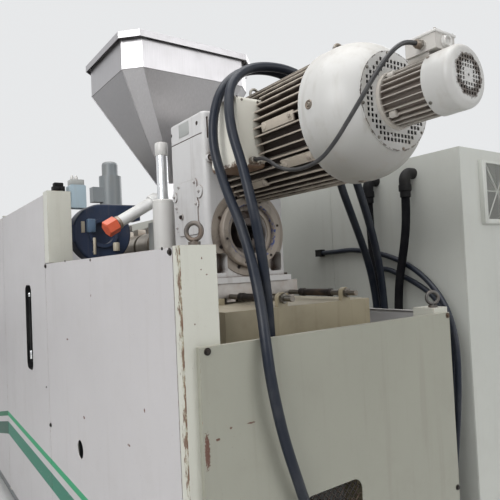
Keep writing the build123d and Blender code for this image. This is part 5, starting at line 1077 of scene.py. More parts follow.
CABLES = (
    Cable("motor_cable_a", "frame", "cable_slate", 0.034, 4.40, (
        (-457, 1300, 425), (-457, 1300, 720), (-462, 1296, 1090), (-452, 1288, 1400),
        (-432, 1225, 1590), (-395, 1130, 1720), (-340, 1010, 1850), (-302, 925, 1950),
        (-286, 880, 2080), (-291, 832, 2215), (-284, 745, 2312), (-278, 630, 2352),
        (-272, 515, 2352), (-274, 405, 2322), (-265, 316, 2240), (-268, 282, 2130),
        (-262, 276, 2030), (-238, 282, 1945), (-192, 281, 1855), (-131, 286, 1750),
        (-86, 284, 1655), (-47, 278, 1560), (-8, 266, 1470), (24, 252, 1380),
        (42, 250, 1280), (46, 266, 1180), (43, 292, 1080), (44, 324, 980),
        (38, 360, 885), (12, 404, 802), (-26, 440, 726), (-62, 458, 650),
        (-90, 462, 575), (-90, 462, 495))),
    Cable("motor_cable_b", "frame", "cable_slate", 0.034, 4.31, (
        (-410, 1300, 425), (-410, 1300, 720), (-413, 1296, 1090), (-404, 1286, 1400),
        (-372, 1228, 1590), (-318, 1130, 1730), (-245, 1000, 1860), (-208, 915, 1965),
        (-206, 876, 2090), (-213, 826, 2225), (-225, 740, 2316), (-233, 625, 2354),
        (-232, 510, 2350), (-224, 406, 2318), (-200, 320, 2246), (-175, 288, 2150),
        (-150, 282, 2052), (-118, 289, 1960), (-86, 290, 1868), (-64, 296, 1775),
        (-60, 310, 1680), (-64, 324, 1585), (-62, 332, 1490), (-67, 338, 1395),
        (-70, 346, 1290), (-77, 353, 1150), (-85, 364, 1010), (-91, 374, 870),
        (-94, 379, 740), (-96, 380, 615), (-96, 380, 495))),
    Cable("conduit_a", "frame", "conduit_black", 0.040, 1.536, (
        (-543, 1370, 1960), (-543, 1370, 1760), (-530, 1373, 1560), (-519, 1368, 1380),
        (-522, 1374, 1080), (-516, 1368, 780), (-520, 1370, 600), (-520, 1370, 425))),
    Cable("conduit_b", "frame", "conduit_black", 0.040, 1.543, (
        (-312, 1370, 1960), (-312, 1370, 1800), (-345, 1373, 1640), (-378, 1369, 1500),
        (-396, 1373, 1340), (-402, 1368, 1060), (-396, 1372, 780), (-398, 1370, 600),
        (-398, 1370, 425))),
    Cable("field_cable_a", "frame", "cable_slate", 0.026, 1.93, (
        (-954, 1417, 1667), (-850, 1417, 1667), (-739, 1417, 1674), (-640, 1418, 1662),
        (-529, 1417, 1644), (-403, 1414, 1604), (-278, 1396, 1543), (-162, 1358, 1460),
        (-78, 1318, 1368), (-34, 1292, 1258), (-26, 1282, 1138), (-34, 1281, 988),
        (-54, 1284, 838), (-74, 1287, 698), (-82, 1288, 560), (-82, 1288, 425))),
    Cable("field_cable_b", "frame", "cable_slate", 0.026, 1.46, (
        (-560, 1417, 1566), (-490, 1417, 1566), (-409, 1417, 1532), (-290, 1400, 1486),
        (-174, 1366, 1426), (-96, 1332, 1340), (-66, 1310, 1240), (-68, 1304, 1120),
        (-78, 1306, 980), (-98, 1312, 830), (-120, 1316, 690), (-130, 1318, 560),
        (-130, 1318, 425))),
    Cable("fan_cable", "extruder", "cable_slate", 0.013, 0.80, (
        (-165, 383, 1973), (-125, 383, 1973), (-85, 381, 1955), (-30, 376, 1921),
        (35, 374, 1899), (105, 376, 1895), (170, 380, 1909), (225, 386, 1950),
        (272, 393, 2000), (318, 400, 2050), (355, 412, 2100), (386, 434, 2148),
        (400, 466, 2180), (403, 506, 2195), (403, 545, 2196))),
)


@dataclass
class Machine:
    """Finishes of the machine, one field for each, named after what wears it."""

    panel: Paint = Paint("panel_white", (0.47, 0.465, 0.47), grime=0.06, streaks=0.06, chips=0.05)
    left: Paint = StripedPaint(
        "panel_striped", (0.50, 0.485, 0.49), grime=0.06, streaks=0.06, shine=0.12, chips=0.10,
        edge_wear=0.9, marks=(
            (REAR - 1.150, 1.315, 0.022, 0.006), (REAR - 0.942, 1.006, 0.016, 0.010),
            (REAR - 0.306, 1.159, 0.008, 0.010), (REAR - 0.450, 1.013, 0.018, 0.006),
            (REAR - 0.798, 1.519, 0.006, 0.010)))
    rear: Paint = Paint(
        "panel_rear", (0.30, 0.30, 0.25), grime=0.14, streaks=0.18, chips=0.45,
        dirt=(0.20, 0.18, 0.14), across=1, marks=(
            (LEFT + 0.052, 1.095, 0.012, 0.075), (LEFT + 0.088, 1.120, 0.010, 0.006),
            (LEFT + 0.133, 1.144, 0.008, 0.005), (LEFT + 0.204, 1.144, 0.022, 0.004)))
    post: Paint = EdgeRustPaint(
        "post_offwhite", (0.54, 0.54, 0.48), grime=0.10, streaks=0.14, chips=0.35,
        edge_wear=0.9, across=1, marks=(
            (LEFT + 0.071, 1.634, 0.0030, 0.0050), (LEFT + 0.068, 1.602, 0.0035, 0.0035),
            (LEFT + 0.086, 1.587, 0.0050, 0.0030), (LEFT + 0.040, 1.448, 0.0030, 0.0045)))
    base: Paint = Paint("base_grey", (0.10, 0.11, 0.12), grime=0.3)
    bed: Paint = Paint("bed_cream", (0.38, 0.33, 0.225), grime=0.35, streaks=0.3, dust=0.35,
                       dirt=(0.20, 0.16, 0.10), occlusion_shade_amount=0.5)
    # Its occlusion term, reaching 5 cm, paints shade into its corners and seams.
    gearbox: Paint = Paint("gearbox_grey", (0.58, 0.575, 0.575), grime=0.14, streaks=0.22,
                           dirt=(0.14, 0.09, 0.065), gloss=0.45, occlusion_shade_amount=0.95, seam=0.05,
                           bump=0.0012)
    motor: Paint = FinPaint("motor_fin_shade_grime", (0.42, 0.37, 0.31), grime=0.48, streaks=0.1,
                            dirt=(0.08, 0.055, 0.042), gloss=0.6)
    small_motor: Paint = FinPaint("fan_motor_fin_shade_grime", (0.44, 0.41, 0.37), grime=0.3, streaks=0.1,
                                  gloss=0.55, tip=0.084, deep=(0.17, 0.14, 0.12),
                                  clean=(0.52, 0.50, 0.47))
    # Painted light: the cream is paler than the box's paint, standing in for the light on its
    # drive-end side.
    cream: Paint = FootRustPaint("box_cream", (0.76, 0.74, 0.66), grime=0.14, streaks=0.25,
                                 occlusion_shade_amount=0.6, dirt=(0.22, 0.15, 0.09))
    cowl: Paint = RingPaint("cowl_white", (0.52, 0.515, 0.50), grime=0.42, streaks=0.30,
                            chips=0.42, underside_shade=0.7, dirt=(0.27, 0.24, 0.19))
    end_cowl: Paint = RingPaint("fan_motor_cowl_white", (0.50, 0.495, 0.48), grime=0.36,
                                streaks=0.20, chips=0.30, start=REAR + 0.5, inner=0.048,
                                outer=0.070, share=0.46)
    cabinet: Paint = Paint("cabinet_grey", (0.49, 0.50, 0.465), grime=0.07, streaks=0.08)
    blower: Paint = Paint("blower_blue", (0.020, 0.036, 0.080), grime=0.15, gloss=0.5)
    junction: Paint = Paint("junction_blue", (0.36, 0.46, 0.52), grime=0.1)
    cylinder: Paint = Paint("cylinder_grey", (0.20, 0.22, 0.23), grime=0.2)
    cap: Paint = Paint("cap_orange", (0.78, 0.14, 0.065), grime=0.12, streaks=0.05, chips=0.05)
    column: Paint = Paint("column_white", (0.62, 0.61, 0.59), grime=0.2)
    pipe: Paint = Paint("pipe_white", (0.80, 0.80, 0.79), grime=0.08, streaks=0.08)
    cast: Paint = Paint("cast_grey", (0.35, 0.36, 0.35), grime=0.3)
    plates: Paint = Paint("plate_cream", (0.50, 0.45, 0.35), grime=0.3, streaks=0.1)
    terminal: Paint = Paint("terminal_blue_grey", (0.10, 0.16, 0.24), grime=0.25, streaks=0.1)
    # The flange's heavy dark grime is partly real grease and partly painted shade from the motor
    # above it.
    flange: Paint = RingPaint("flange_cream", (0.29, 0.25, 0.21), grime=0.9, streaks=0.3,
                              dirt=(0.05, 0.035, 0.028), gloss=0.5, occlusion_shade_amount=0.9,
                              centre=(OUTPUT_CENTRE.y, OUTPUT_CENTRE.z), start=0.0, inner=0.119,
                              outer=0.128, tone=(0.03, 0.06, 0.22), share=0.56)
    stainless: Metal = Metal("stainless", (0.46, 0.45, 0.46), (160.0, 160.0, 6.0), 0.30, 0.10,
                             (0.38, 0.37, 0.35), bump=0.00002)
    steel: Metal = Metal("machined_steel", (0.36, 0.34, 0.32), stains=0.4)
    greasy: Metal = Metal("greasy_steel", (0.07, 0.06, 0.055), gloss=0.4, stains=0.6,
                          stain=(0.03, 0.022, 0.018))
    zinc: Metal = Metal("zinc_steel", (0.20, 0.19, 0.17), stains=0.6)
    eyes: Metal = SidedMetal("eyebolt_steel", (0.12, 0.115, 0.11), gloss=0.4, stains=0.5)
    dark: Metal = Metal("dark_steel", (0.045, 0.04, 0.038), gloss=0.45, stains=0.4)
    bands: Metal = Metal("band_steel", (0.42, 0.38, 0.33), stains=0.5)
    chrome: Metal = Metal("chrome", (0.78, 0.79, 0.80), gloss=0.10, stains=0.05)
    aluminium: Metal = Metal("mould_aluminium", (0.74, 0.75, 0.76), gloss=0.3, stains=0.05)
    black: Jacket = Jacket("moulded_black", (0.010, 0.010, 0.011), 0.6, shine=0.12)

    def build(self) -> Finishes:
        """Dress the listed CAD nodes.

        Returns:
            The materials by the names of the fields, for the small fittings.
        """
        dressed = {
            "left": ("left_panel", "door_rear", "door_front"),
            "panel": ("fixed_panels",),
            "rear": ("rear_panel",),
            "post": ("rear_posts", "guard_frame"),
            "base": ("base_frame", "clamp_end_plates", "platen_rear", "platen_front"),
            "bed": ("extruder_bed",),
            "gearbox": ("gearbox_housing",),
            "motor": ("motor_housing",),
            "small_motor": ("fan_motor",),
            "cream": ("terminal_box", "terminal_box_lid"),
            "cowl": ("motor_cowl", "fan_guard"),
            "end_cowl": ("fan_motor_cowl",),
            "cabinet": ("cabinet_body", "cabinet_door", "cable_boxes"),
            "blower": ("barrel_blower",),
            "junction": ("junction_box",),
            "cylinder": ("parison_cylinder", "blow_pin_cylinder"),
            "cap": ("drain_cap",),
            "column": ("lift_tube",),
            "cast": ("feed_throat",),
            "stainless": ("hopper", "hopper_lid"),
            "pipe": ("drain_pipe",),
            "flange": ("gearbox_flange",),
            "steel": ("sole_plate", "barrel", "die_head"),
            "greasy": ("hollow_shaft", "extruder_screw"),
            "zinc": ("levelling_feet", "adjusting_spindles"),
            "eyes": ("lifting_eyebolts",),
            "dark": ("panel_screws",),
            "bands": ("heater_bands",),
            "chrome": ("tie_bars", "lift_rod", "blow_pin"),
            "aluminium": ("mould_rear", "mould_front"),
            "black": ("door_rear_handle", "door_front_handle", "cooling_fan", "cable_glands"),
        }
        made = {field.name: getattr(self, field.name).build() for field in fields(self)}
        for finish, nodes in dressed.items():
            for node in nodes:
                dress(node, made[finish])
        return made


@dataclass
class GearboxFittings:
    """Screws of the gearbox, its flange and its covers, and its blank plug.

    Attributes:
        flange_circle: Radius of the circle of the flange's screws.
        shaft_circle: Radius of the circle of the inner ring's screws.
        lid_x: Places of the lid's two screws.
        foot_x: Places of the foot's bolts along the machine.
        foot_y: Places of the foot's bolts across it.
        ears: Screws in the ears of the side cover, x from its middle and height.
        cover_x: Middle of the side cover, x.
        side: Face of the ears, y.
    """

    flange_circle: float = 0.158
    shaft_circle: float = 0.134
    lid_x: Sequence[float] = (-829, -594)
    foot_x: Sequence[float] = (-838, -700, -562)
    foot_y: Sequence[float] = (395, 813)
    ears: Sequence[Span] = (
        (-71, 1968), (70, 1969), (105, 1927), (-115, 1930), (79, 1878), (-96, 1878), (79, 1790),
        (-96, 1790))
    cover_x: float = -697
    side: float = 398

    def build(self, finishes: Finishes) -> None:
        """Make the screws and the plug."""
        screws = Shape()
        face = OUTPUT_CENTRE + REARWARD * 0.0012
        for place, _ in ring_points(face, Axis.X, self.flange_circle, 8, 22.5):
            screws.socket_screw(place, REARWARD, 0.0068)
        face = OUTPUT_CENTRE + REARWARD * 0.033
        for place, _ in ring_points(face, Axis.X, self.shaft_circle, 6, 12.0):
            screws.socket_screw(place, REARWARD, 0.005)
        for x in self.lid_x:
            screws.socket_screw(machine_point(x, 412, 2214), OUTWARD, 0.0075)
        screws.hex_bolt(machine_point(-746, 393, 1835), OUTWARD, 0.008, 1.2)
        for x in self.foot_x:
            for y in self.foot_y:
                screws.hex_bolt(machine_point(x, y, 1564), UP, 0.009, 1.1)
        screws.piece("gearbox_screws", "extruder", finishes["dark"])
        plug = Shape()
        for x, z in self.ears:
            plug.socket_screw(machine_point(self.cover_x + x, self.side, z), OUTWARD, 0.0055)
        plug.turned(((0.0, 0.006), (0.006, 0.006), (0.007, 0.002), (0.0125, 0.002),
                     (0.014, 0.006), (0.017, 0.0065), (0.018, 0.0)),
                    machine_point(-539, 429, 2059), REARWARD, 24)
        plug.piece("gearbox_plug", "extruder", finishes["gearbox"])


@dataclass
class MotorFittings:
    """Cast pads and lifting eyes of the main motor and fittings of its terminal box.

    Attributes:
        fin_tip: Radius over the fins.
        pads: Front end, rear end and angle of each pad.
        pad_half: Half of a pad's height over the fins and of its width.
        boss_inset: Distance of a boss from the pad's end.
        eye_x: Places of the lifting eyes.
        box_face: Rear face of the terminal box, x.
    """

    fin_tip: float = 0.213
    pads: Sequence[Point] = (
        (-133, 35, -178), (-95, 59, -139), (-380, -240, -125), (-133, 35, -2), (-95, 59, -41),
        (-380, -240, -55))
    pad_half: Span = (0.007, 0.017)
    boss_inset: float = 0.014
    eye_x: Sequence[float] = (-455, 40)
    box_face: float = -186

    def pad(self, shape: Shape, start: float, end: float, angle: float) -> None:
        """Add a cast frame on the fins with a bolt in it.

        Args:
            shape: Shape that it is added to.
            start: Its front end, x from the rear panel in millimetres.
            end: Its rear end.
            angle: Its place round the motor in degrees from the far side.
        """
        turn = Matrix.Rotation(math.radians(angle), 4, "X")
        out = turn.to_3x3() @ Vector((0, 1, 0))
        seat = motor_place((start + end) / 2 * MM) + out * (self.fin_tip - 0.006)
        half = Vector(((end - start) / 2 * MM, *self.pad_half))
        shape.block(seat - half, seat + half, 0.0025, turn)
        for side in (-1, 1):
            boss = seat + Vector((side * (half.x - self.boss_inset), 0, 0))
            shape.rod(boss, out, 0.012, 0.010, 20, 0.0015)
        shape.hex_bolt(boss + out * 0.010, out, 0.007, 1.1)

    def build(self, finishes: Finishes) -> None:
        """Make the pads, the lifting eyes and the fittings of the terminal box."""
        pads = Shape()
        for start, end, angle in self.pads:
            self.pad(pads, start, end, angle)
        pads.piece("motor_pads", "extruder", finishes["motor"])
        lugs = Shape()
        for x in self.eye_x:
            foot = motor_place(x * MM) + UP * (self.fin_tip - 0.008)
            lugs.rod(foot, UP, 0.017, 0.016, 20, 0.002)
            lugs.turned(round_outline(0.020, 0.0, 0.006, 12), foot + UP * 0.034, REARWARD, 24)
        lugs.piece("motor_lifting_eyes", "extruder", finishes["zinc"])
        box = Shape()
        box.rod(machine_point(-185, 383, 1973), REARWARD, 0.0145, 0.008, 6, 0.0012)
        box.turned(((0.0068, 0.0), (0.0135, 0.0), (0.0135, 0.006), (0.011, 0.013),
                    (0.0068, 0.014)), machine_point(-177, 383, 1973), REARWARD, 24)
        for y, z in ((352, 2186), (420, 1970), (420, 2186)):
            box.rod(machine_point(self.box_face, y, z), REARWARD, 0.0045, 0.0035, 16, 0.0008)
        box.piece("terminal_box_gland", "extruder", finishes["zinc"])
        seal = Shape()
        seal.plate((-360, 334, 1954), (self.box_face, 336.5, 2199), 0.001)
        seal.piece("terminal_box_seal", "extruder", finishes["black"])


@dataclass
class CowlFittings:
    """Screws, washers and rolled beads of the motor's sheet cowl and its guard plate.

    Attributes:
        cowl: Radius of the cowl.
        mouth: Radius of the bead at the cowl's mouth.
        bead: Radius of a bead's section.
    """

    cowl: float = 0.221
    mouth: float = 0.1525
    bead: float = 0.0022

    def build(self, finishes: Finishes) -> None:
        """Make the screws with their cup washers and the beads."""
        skin = self.cowl - 0.001
        screws = Shape()
        for place, out in ring_points(motor_place(0.118), Axis.X, skin, 4, 0.0):
            screws.turned(((0.0, 0.002), (0.0, 0.0035), (0.005, 0.005), (0.0075, 0.002),
                           (0.013, 0.0035), (0.0155, 0.0)), place, out, 24)
        for place, _ in ring_points(motor_place(0.265), Axis.X, 0.146, 8, 10.0):
            screws.hex_bolt(place, REARWARD, 0.0042, 1.3)
        for place, out in ring_points(motor_place(0.431), Axis.X, 0.0875, 4, 45.0):
            screws.rod(place, out, 0.005, 0.003, 16, 0.0008)
        screws.piece("cowl_screws", "extruder", finishes["zinc"])
        beads = Shape()
        for radius, height in ((skin, 0.002), (self.mouth, 0.194)):
            beads.turned(round_outline(radius, height, self.bead, 8), motor_place(0.069),
                         REARWARD, 96)
        beads.piece("cowl_beads", "extruder", finishes["cowl"])


@dataclass
class FanMotorFittings:
    """Lid, blank plug and gland of the fan motor's terminal box, and its flange bolts.

    Attributes:
        gland_nut: Foot of the nut of the cable's gland.
        gland_end: Foot of the gland's sleeve.
        bolt_circle: Radius of the circle of the flange's bolts.
        lug_circle: Radius of the circle of its lugs.
    """

    gland_nut: Point = (403, 553, 2196)
    gland_end: Point = (403, 545, 2196)
    bolt_circle: float = 0.079
    lug_circle: float = 0.080

    def build(self, finishes: Finishes) -> None:
        """Make the fittings."""
        box = Shape()
        box.plate((341, 559, 2219), (449, 655, 2228), 0.003)
        box.rod(machine_point(444, 607, 2199), REARWARD, 0.019, 0.006, 24, 0.0015)
        box.turned(((0.0, 0.002), (0.010, 0.002), (0.0115, 0.0065), (0.0155, 0.0075),
                    (0.0165, 0.0)), machine_point(450, 607, 2199), REARWARD, 24)
        box.piece("fan_box_lid", "extruder", finishes["column"])
        small = Shape()
        for x in (349, 441):
            for y in (567, 647):
                small.socket_screw(machine_point(x, y, 2228), UP, 0.0038)
        small.rod(machine_point(*self.gland_nut), OUTWARD, 0.0145, 0.008, 6, 0.001)
        small.turned(((0.0068, 0.0), (0.0125, 0.0), (0.0125, 0.006), (0.0105, 0.012),
                      (0.0068, 0.013)), machine_point(*self.gland_end), OUTWARD, 24)
        for place, out in ring_points(motor_place(0.278), Axis.X, self.bolt_circle, 4, 45.0):
            small.hex_bolt(place - out * 0.002, REARWARD, 0.006, 1.2)
        small.piece("fan_motor_screws", "extruder", finishes["zinc"])
        feet = Shape()
        for place, _ in ring_points(motor_place(0.292), Axis.X, self.lug_circle, 4, 45.0):
            feet.rod(place, REARWARD, 0.011, 0.022, 20, 0.002)
        feet.piece("fan_motor_lugs", "extruder", finishes["small_motor"])


@dataclass
class ColumnFittings:
    """White sleeve on the lift ram.

    Attributes:
        foot: Lower end of the sleeve.
    """

    foot: Point = (-930.0, 400.0, 2143)

    def build(self, finishes: Finishes) -> None:
        """Make the sleeve."""
        sleeve = Shape()
        sleeve.turned(((0.0, 0.0625), (0.022, 0.0625), (0.0295, 0.059), (0.0305, 0.054),
                       (0.0305, 0.003), (0.0285, 0.0), (0.0, 0.0)), machine_point(*self.foot), UP)
        sleeve.piece("ram_sleeve", "ram", finishes["column"])


@dataclass
class HopperFittings:
    """Weld seams of the hopper, and the ring and the collar of its drain pipe.

    Attributes:
        centre: Middle of the hopper, x and y.
        length: Length of the box along the machine.
        width: Width of the box.
        cut: Cut of the box's corners.
        neck: Length and width of the neck.
        neck_cut: Cut of the neck's corners.
        knee: Height of the seam under the box.
        neck_top: Height of the seam over the neck.
        bead: Radius of a weld bead.
        pipe_end: Lower end of the drain pipe.
        pipe_slope: Slope of the pipe in degrees.
    """

    centre: Span = (-1227.5, 607.0)
    length: float = 583.0
    width: float = 708.0
    cut: float = 75.0
    neck: float = 150.0
    neck_cut: float = 40.0
    knee: float = 2557.0
    neck_top: float = 2060.0
    bead: float = 0.0022
    pipe_end: Point = (-1227.5, 246, 1832)
    pipe_slope: float = 30.0

    def corners(self, length: float, width: float, cut: float, height: float) -> list[Vector]:
        """Eight corners of the hopper's section at a height."""
        half_x, half_y = length / 2, width / 2
        turns = ((half_x, half_y - cut), (half_x - cut, half_y), (cut - half_x, half_y),
                 (-half_x, half_y - cut), (-half_x, cut - half_y), (cut - half_x, -half_y),
                 (half_x - cut, -half_y), (half_x, cut - half_y))
        return [machine_point(self.centre[0] + x, self.centre[1] + y, height) for x, y in turns]

    def build(self, finishes: Finishes) -> None:
        """Make the weld beads and the fittings of the pipe."""
        upper = self.corners(self.length, self.width, self.cut, self.knee)
        lower = self.corners(self.neck, self.neck, self.neck_cut, self.neck_top)
        beads = Shape()
        for index, (high, low) in enumerate(zip(upper, lower)):
            after = (index + 1) % len(upper)
            for start, end in ((high, low), (high, upper[after]), (low, lower[after])):
                beads.bar(start, end, self.bead, 8)
        beads.piece("hopper_welds", "extruder", finishes["stainless"])
        slope = math.radians(self.pipe_slope)
        way = Vector((0.0, -math.cos(slope), -math.sin(slope)))
        foot = machine_point(*self.pipe_end)
        ring = Shape()
        ring.turned(((0.0302, 0.0), (0.034, 0.002), (0.0345, 0.017), (0.0302, 0.019)),
                    foot - way * 0.062, way)
        ring.piece("pipe_ring", "extruder", finishes["bands"])
        collar = Shape()
        collar.turned(((0.0302, 0.0), (0.0385, 0.0015), (0.0400, 0.004), (0.0400, 0.040),
                       (0.0385, 0.0425), (0.0302, 0.044)), foot - way * 0.304, way)
        collar.piece("pipe_collar", "extruder", finishes["pipe"])


@dataclass
class PanelFittings:
    """Lattice behind the rear panel's cut-out, small screws, sleeves and the doors' clamps.

    Attributes:
        cutout_y: Sides of the cut-out.
        cutout_z: Its bottom and its top.
        pitch: Distance between the lattice's wires along an edge.
        layers: Place of each layer of wires, x, and whether its wires rise with y.
        screws: Screws of the operator side, x and height.
        spindles: Places of the two adjusting spindles, y.
        grips: Body and x of each door's grip.
        clamps: Lower and upper end of each clamp on a grip.
        plate_x: Screws of the gearbox's blank plate, x.
        plate_z: Their heights.
    """

    cutout_y: Span = (386.0, 652.0)
    cutout_z: Span = (420.0, 868.0)
    pitch: float = 28.0
    layers: Sequence[tuple[float, bool]] = ((-12.0, True), (-14.5, False))
    screws: Sequence[Span] = (
        (-1511, 1662), (-1560, 1034), (-1505, 856), (-1140, 1670), (-127, 1669), (-80, 1664),
        (-787, 1661))
    spindles: Span = (508, 830)
    grips: Sequence[tuple[str, float]] = (("door_rear", -1915.0), ("door_front", -3049.0))
    clamps: Sequence[Span] = ((1138, 1186), (1494, 1516))
    plate_x: Span = (-747, -669)
    plate_z: Span = (2190, 2238)

    def lattice(self, finish: Material) -> None:
        """Make the lattice of crossing wires."""
        wires = Shape()
        (left, right), (bottom, top) = self.cutout_y, self.cutout_z
        steps = int((right - left + top - bottom) / self.pitch)
        for x, rising in self.layers:
            for step in range(1, steps):
                foot = step * self.pitch
                low = max(0.0, foot - (top - bottom))
                high = min(foot, right - left)
                ends = [(y, foot - y) for y in (low, high)]
                if rising:
                    ends = [(right - left - y, z) for y, z in ends]
                wires.bar(*(machine_point(x, left + y, bottom + z) for y, z in ends), 0.002)
        wires.piece("cutout_lattice", "frame", finish)

    def build(self, finishes: Finishes) -> None:
        """Make the lattice, the screws, the sleeves, the clamps and the plate."""
        self.lattice(finishes["dark"])
        screws = Shape()
        for x, z in self.screws:
            screws.rod(machine_point(x, 0, z), OUTWARD, 0.005, 0.0025, 16, 0.0008)
        screws.piece("side_panel_screws", "frame", finishes["dark"])
        sleeves = Shape()
        for y in self.spindles:
            sleeves.turned(((0.0112, 0.0), (0.0165, 0.0), (0.0175, 0.002), (0.0175, 0.028),
                            (0.0150, 0.030), (0.0150, 0.176), (0.0165, 0.178), (0.0165, 0.196),
                            (0.0112, 0.198)), machine_point(-482, y, 1484), REARWARD)
        sleeves.piece("spindle_sleeves", "frame", finishes["dark"])
        for body, x in self.grips:
            clamps = Shape()
            for low, high in self.clamps:
                clamps.rod(machine_point(x, 10, low), UP, 0.0092, (high - low) * MM, 20, 0.001)
            clamps.piece(body + "_clamps", body, finishes["chrome"])
        blank = Shape()
        blank.plate((-752, 401.5, 2185), (-664, 403.5, 2243), 0.0006)
        for x in self.plate_x:
            for z in self.plate_z:
                blank.rod(machine_point(x, 401.5, z), OUTWARD, 0.002, 0.0012, 12, 0.0004)
        blank.piece("blank_plate", "extruder", finishes["cast"])


@dataclass
class FanFilter:
    """Grille of the cabinet's fan filter with diamonds of slats in front of a dark mat.

    Attributes:
        middle: Middle of the opening, y and z.
        half: Half of the opening's width and height.
        back: Back of the mat and of the rim, x.
        spoke_x: Plane of the spokes.
        pitch: Distance between the slats along an edge.
        rim_y: Half of the width over the rim.
        rim_z: Bottom and top of the rim.
    """

    middle: Span = (1701.0, 1905.0)
    half: Span = (90.0, 130.0)
    back: float = -48
    spoke_x: float = -43.6
    pitch: float = 14.0
    rim_y: float = 119.0
    rim_z: Sequence[Span] = ((1753, 1775), (2035, 2047))

    def point(self, x: float, y: float, z: float) -> Vector:
        """Point given by its offsets from the middle of the opening."""
        return machine_point(x, self.middle[0] + y, self.middle[1] + z)

    def quarter(self, slats: Shape, across: int, up: int) -> None:
        """Add the slats and the spoke of one quarter.

        Args:
            slats: Shape that they are added to.
            across: 1 for the far half, -1 for the near one.
            up: 1 for the upper half, -1 for the lower one.
        """
        wide, tall = self.half
        for step in range(1, int((wide + tall) / self.pitch) + 1):
            reach = self.pitch * step
            first, last = max(0.0, reach - tall), min(reach, wide)
            if last - first >= 2.0:
                slats.bar(*(self.point(-44.6, across * y, up * (reach - y))
                            for y in (first, last)), 0.0016)
        slats.bar(self.point(self.spoke_x, 0, 0),
                  self.point(self.spoke_x, across * wide, up * tall), 0.0024)

    def build(self, finishes: Finishes) -> None:
        """Make the mat, the slats, the spokes and the rim."""
        wide, tall = self.half
        mat = Shape()
        mat.block(self.point(self.back, -wide, -tall), self.point(-46.4, wide, tall), 0.0)
        mat.piece("filter_mat", "frame", finishes["black"])
        slats = Shape()
        for across in (-1, 1):
            for up in (-1, 1):
                self.quarter(slats, across, up)
        bottom, top = self.rim_z[0][0], self.rim_z[1][1]
        for side in (-1, 1):
            slats.rod(self.point(self.spoke_x, 0, 0), Vector((0, side, 0)), 0.0024, wide * MM, 6)
            low, high = sorted((side * wide, side * self.rim_y))
            slats.plate((self.back, self.middle[0] + low, bottom),
                        (-40, self.middle[0] + high, top), 0.0015)
        for low, high in self.rim_z:
            slats.plate((self.back, self.middle[0] - wide - 2.0, low),
                        (-40.3, self.middle[0] + wide + 2.0, high), 0.0015)
        slats.piece("filter_grille", "frame", finishes["cabinet"])


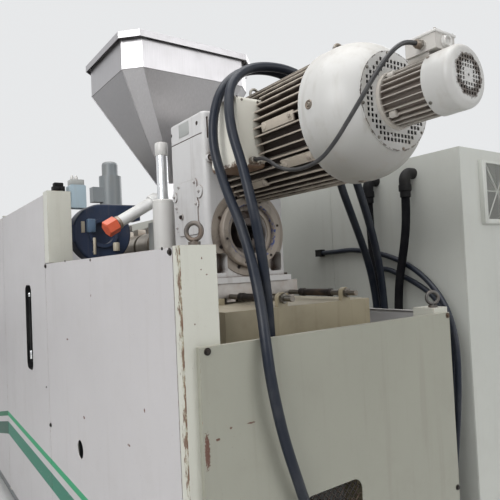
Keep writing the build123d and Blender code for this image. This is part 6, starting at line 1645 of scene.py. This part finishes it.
@dataclass
class ServiceFittings:
    """Sleeves of the conduits, screws of the cabinet, plugs and fittings of the blower.

    Attributes:
        conduits: Places of the two conduits, x.
        plinth_screws: Screws at the foot of the cabinet, y.
        hub: Middle of the blower's face.
        face: Back of what is screwed to the blower's face, x.
    """

    conduits: Span = (-543, -312)
    plinth_screws: Sequence[float] = (1455, 1740, 2011)
    hub: Point = (-1505, 302, 1826)
    face: float = -1486

    def build(self, finishes: Finishes) -> None:
        """Make the fittings that stay with the frame."""
        sleeves = Shape()
        for x in self.conduits:
            sleeves.turned(((0.0205, 0.0), (0.0300, 0.0), (0.0305, 0.028), (0.0255, 0.032),
                            (0.0255, 0.058), (0.0205, 0.060)), machine_point(x, 1370, 1962),
                           -UP, 24)
        sleeves.piece("conduit_sleeves", "frame", finishes["black"])
        screws = Shape()
        for y in self.plinth_screws:
            screws.rod(machine_point(-59, y, 60), REARWARD, 0.006, 0.003, 16, 0.001)
        screws.piece("cabinet_screws", "frame", finishes["zinc"])
        blower = Shape()
        for place, _ in ring_points(machine_point(*self.hub), Axis.X, 0.146, 8, 10.0):
            blower.hex_bolt(place, REARWARD, 0.006, 1.3)
        blower.piece("blower_screws", "frame", finishes["zinc"])
        self.blower_plates(finishes)
        self.guard_plugs(finishes)

    def blower_plates(self, finishes: Finishes) -> None:
        """Make the plate, the stub, the capacitor and the terminal box on the blower's face."""
        pale = Shape()
        pale.plate((self.face, 184, 1829), (-1480, 203, 1889), 0.0015)
        pale.rod(machine_point(-1463, 246, 1710), UP, 0.0078, 0.090, 20, 0.002)
        for z in (1722, 1784):
            pale.plate((self.face, 241, z), (-1463, 251, z + 6), 0.001)
        pale.turned(((0.0, 0.0), (0.0165, 0.0), (0.0175, 0.003), (0.0175, 0.040), (0.0155, 0.046),
                     (0.0, 0.046)), machine_point(-1466, 367, 1727), UP, 24)
        pale.plate((self.face, 357, 1740), (-1466, 377, 1746), 0.001)
        pale.piece("blower_plates", "frame", finishes["plates"])
        box = Shape()
        box.plate((self.face, 211, 1829), (-1452, 253, 1900), 0.004)
        for z in (1838, 1891):
            box.socket_screw(machine_point(-1452, 232, z), REARWARD, 0.003)
        box.piece("blower_terminal", "frame", finishes["terminal"])

    def guard_plugs(self, finishes: Finishes) -> None:
        """Make the plug connectors on the guard's post and on the junction box."""
        base = Shape()
        base.plate((-1490, 38, 2037), (-1440, 96, 2066), 0.004)
        base.plate((-1484, 44, 2066), (-1446, 90, 2084), 0.004)
        for y in (56, 78):
            base.rod(machine_point(-1440, y, 2050), REARWARD, 0.0075, 0.012, 16, 0.001)
        base.piece("guard_plug", "frame", finishes["black"])
        cover = Shape()
        cover.plate((-1498, 124, 2074.5), (-1435, 194, 2105), 0.004)
        cover.piece("junction_plug", "frame", finishes["cast"])
        pale = Shape()
        for y in (138, 160):
            pale.rod(machine_point(-1462, y, 2104), UP, 0.009, 0.016, 20, 0.002)
            pale.rod(machine_point(-1462, y, 2118), UP, 0.006, 0.010, 16, 0.002)
        pale.piece("junction_caps", "frame", finishes["column"])


def main() -> None:
    """Build the setting, the cables and the machine's finishes."""
    logging.basicConfig(level=logging.INFO, format="%(message)s")
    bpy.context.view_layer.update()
    Studio().build()
    jackets = {
        "cable_slate": Jacket("cable_slate", (0.011, 0.015, 0.025), 0.36, shine=0.24),
        "conduit_black": Jacket("conduit_black", (0.006, 0.006, 0.008), 0.6, 160.0, 0.02, 0.06),
        "fan_cable": Jacket("fan_cable_black", (0.018, 0.018, 0.020), 0.42, dust=0.12),
    }
    jackets = {key: jacket.build() for key, jacket in jackets.items()}
    for cable in CABLES:
        cable.build(jackets.get(cable.node, jackets[cable.slot]))
    finishes = Machine().build()
    for fittings in (GearboxFittings(), MotorFittings(), CowlFittings(), FanMotorFittings(),
                     ColumnFittings(), HopperFittings(), PanelFittings(), ServiceFittings(),
                     FanFilter()):
        fittings.build(finishes)


if __name__ == "__main__":
    main()
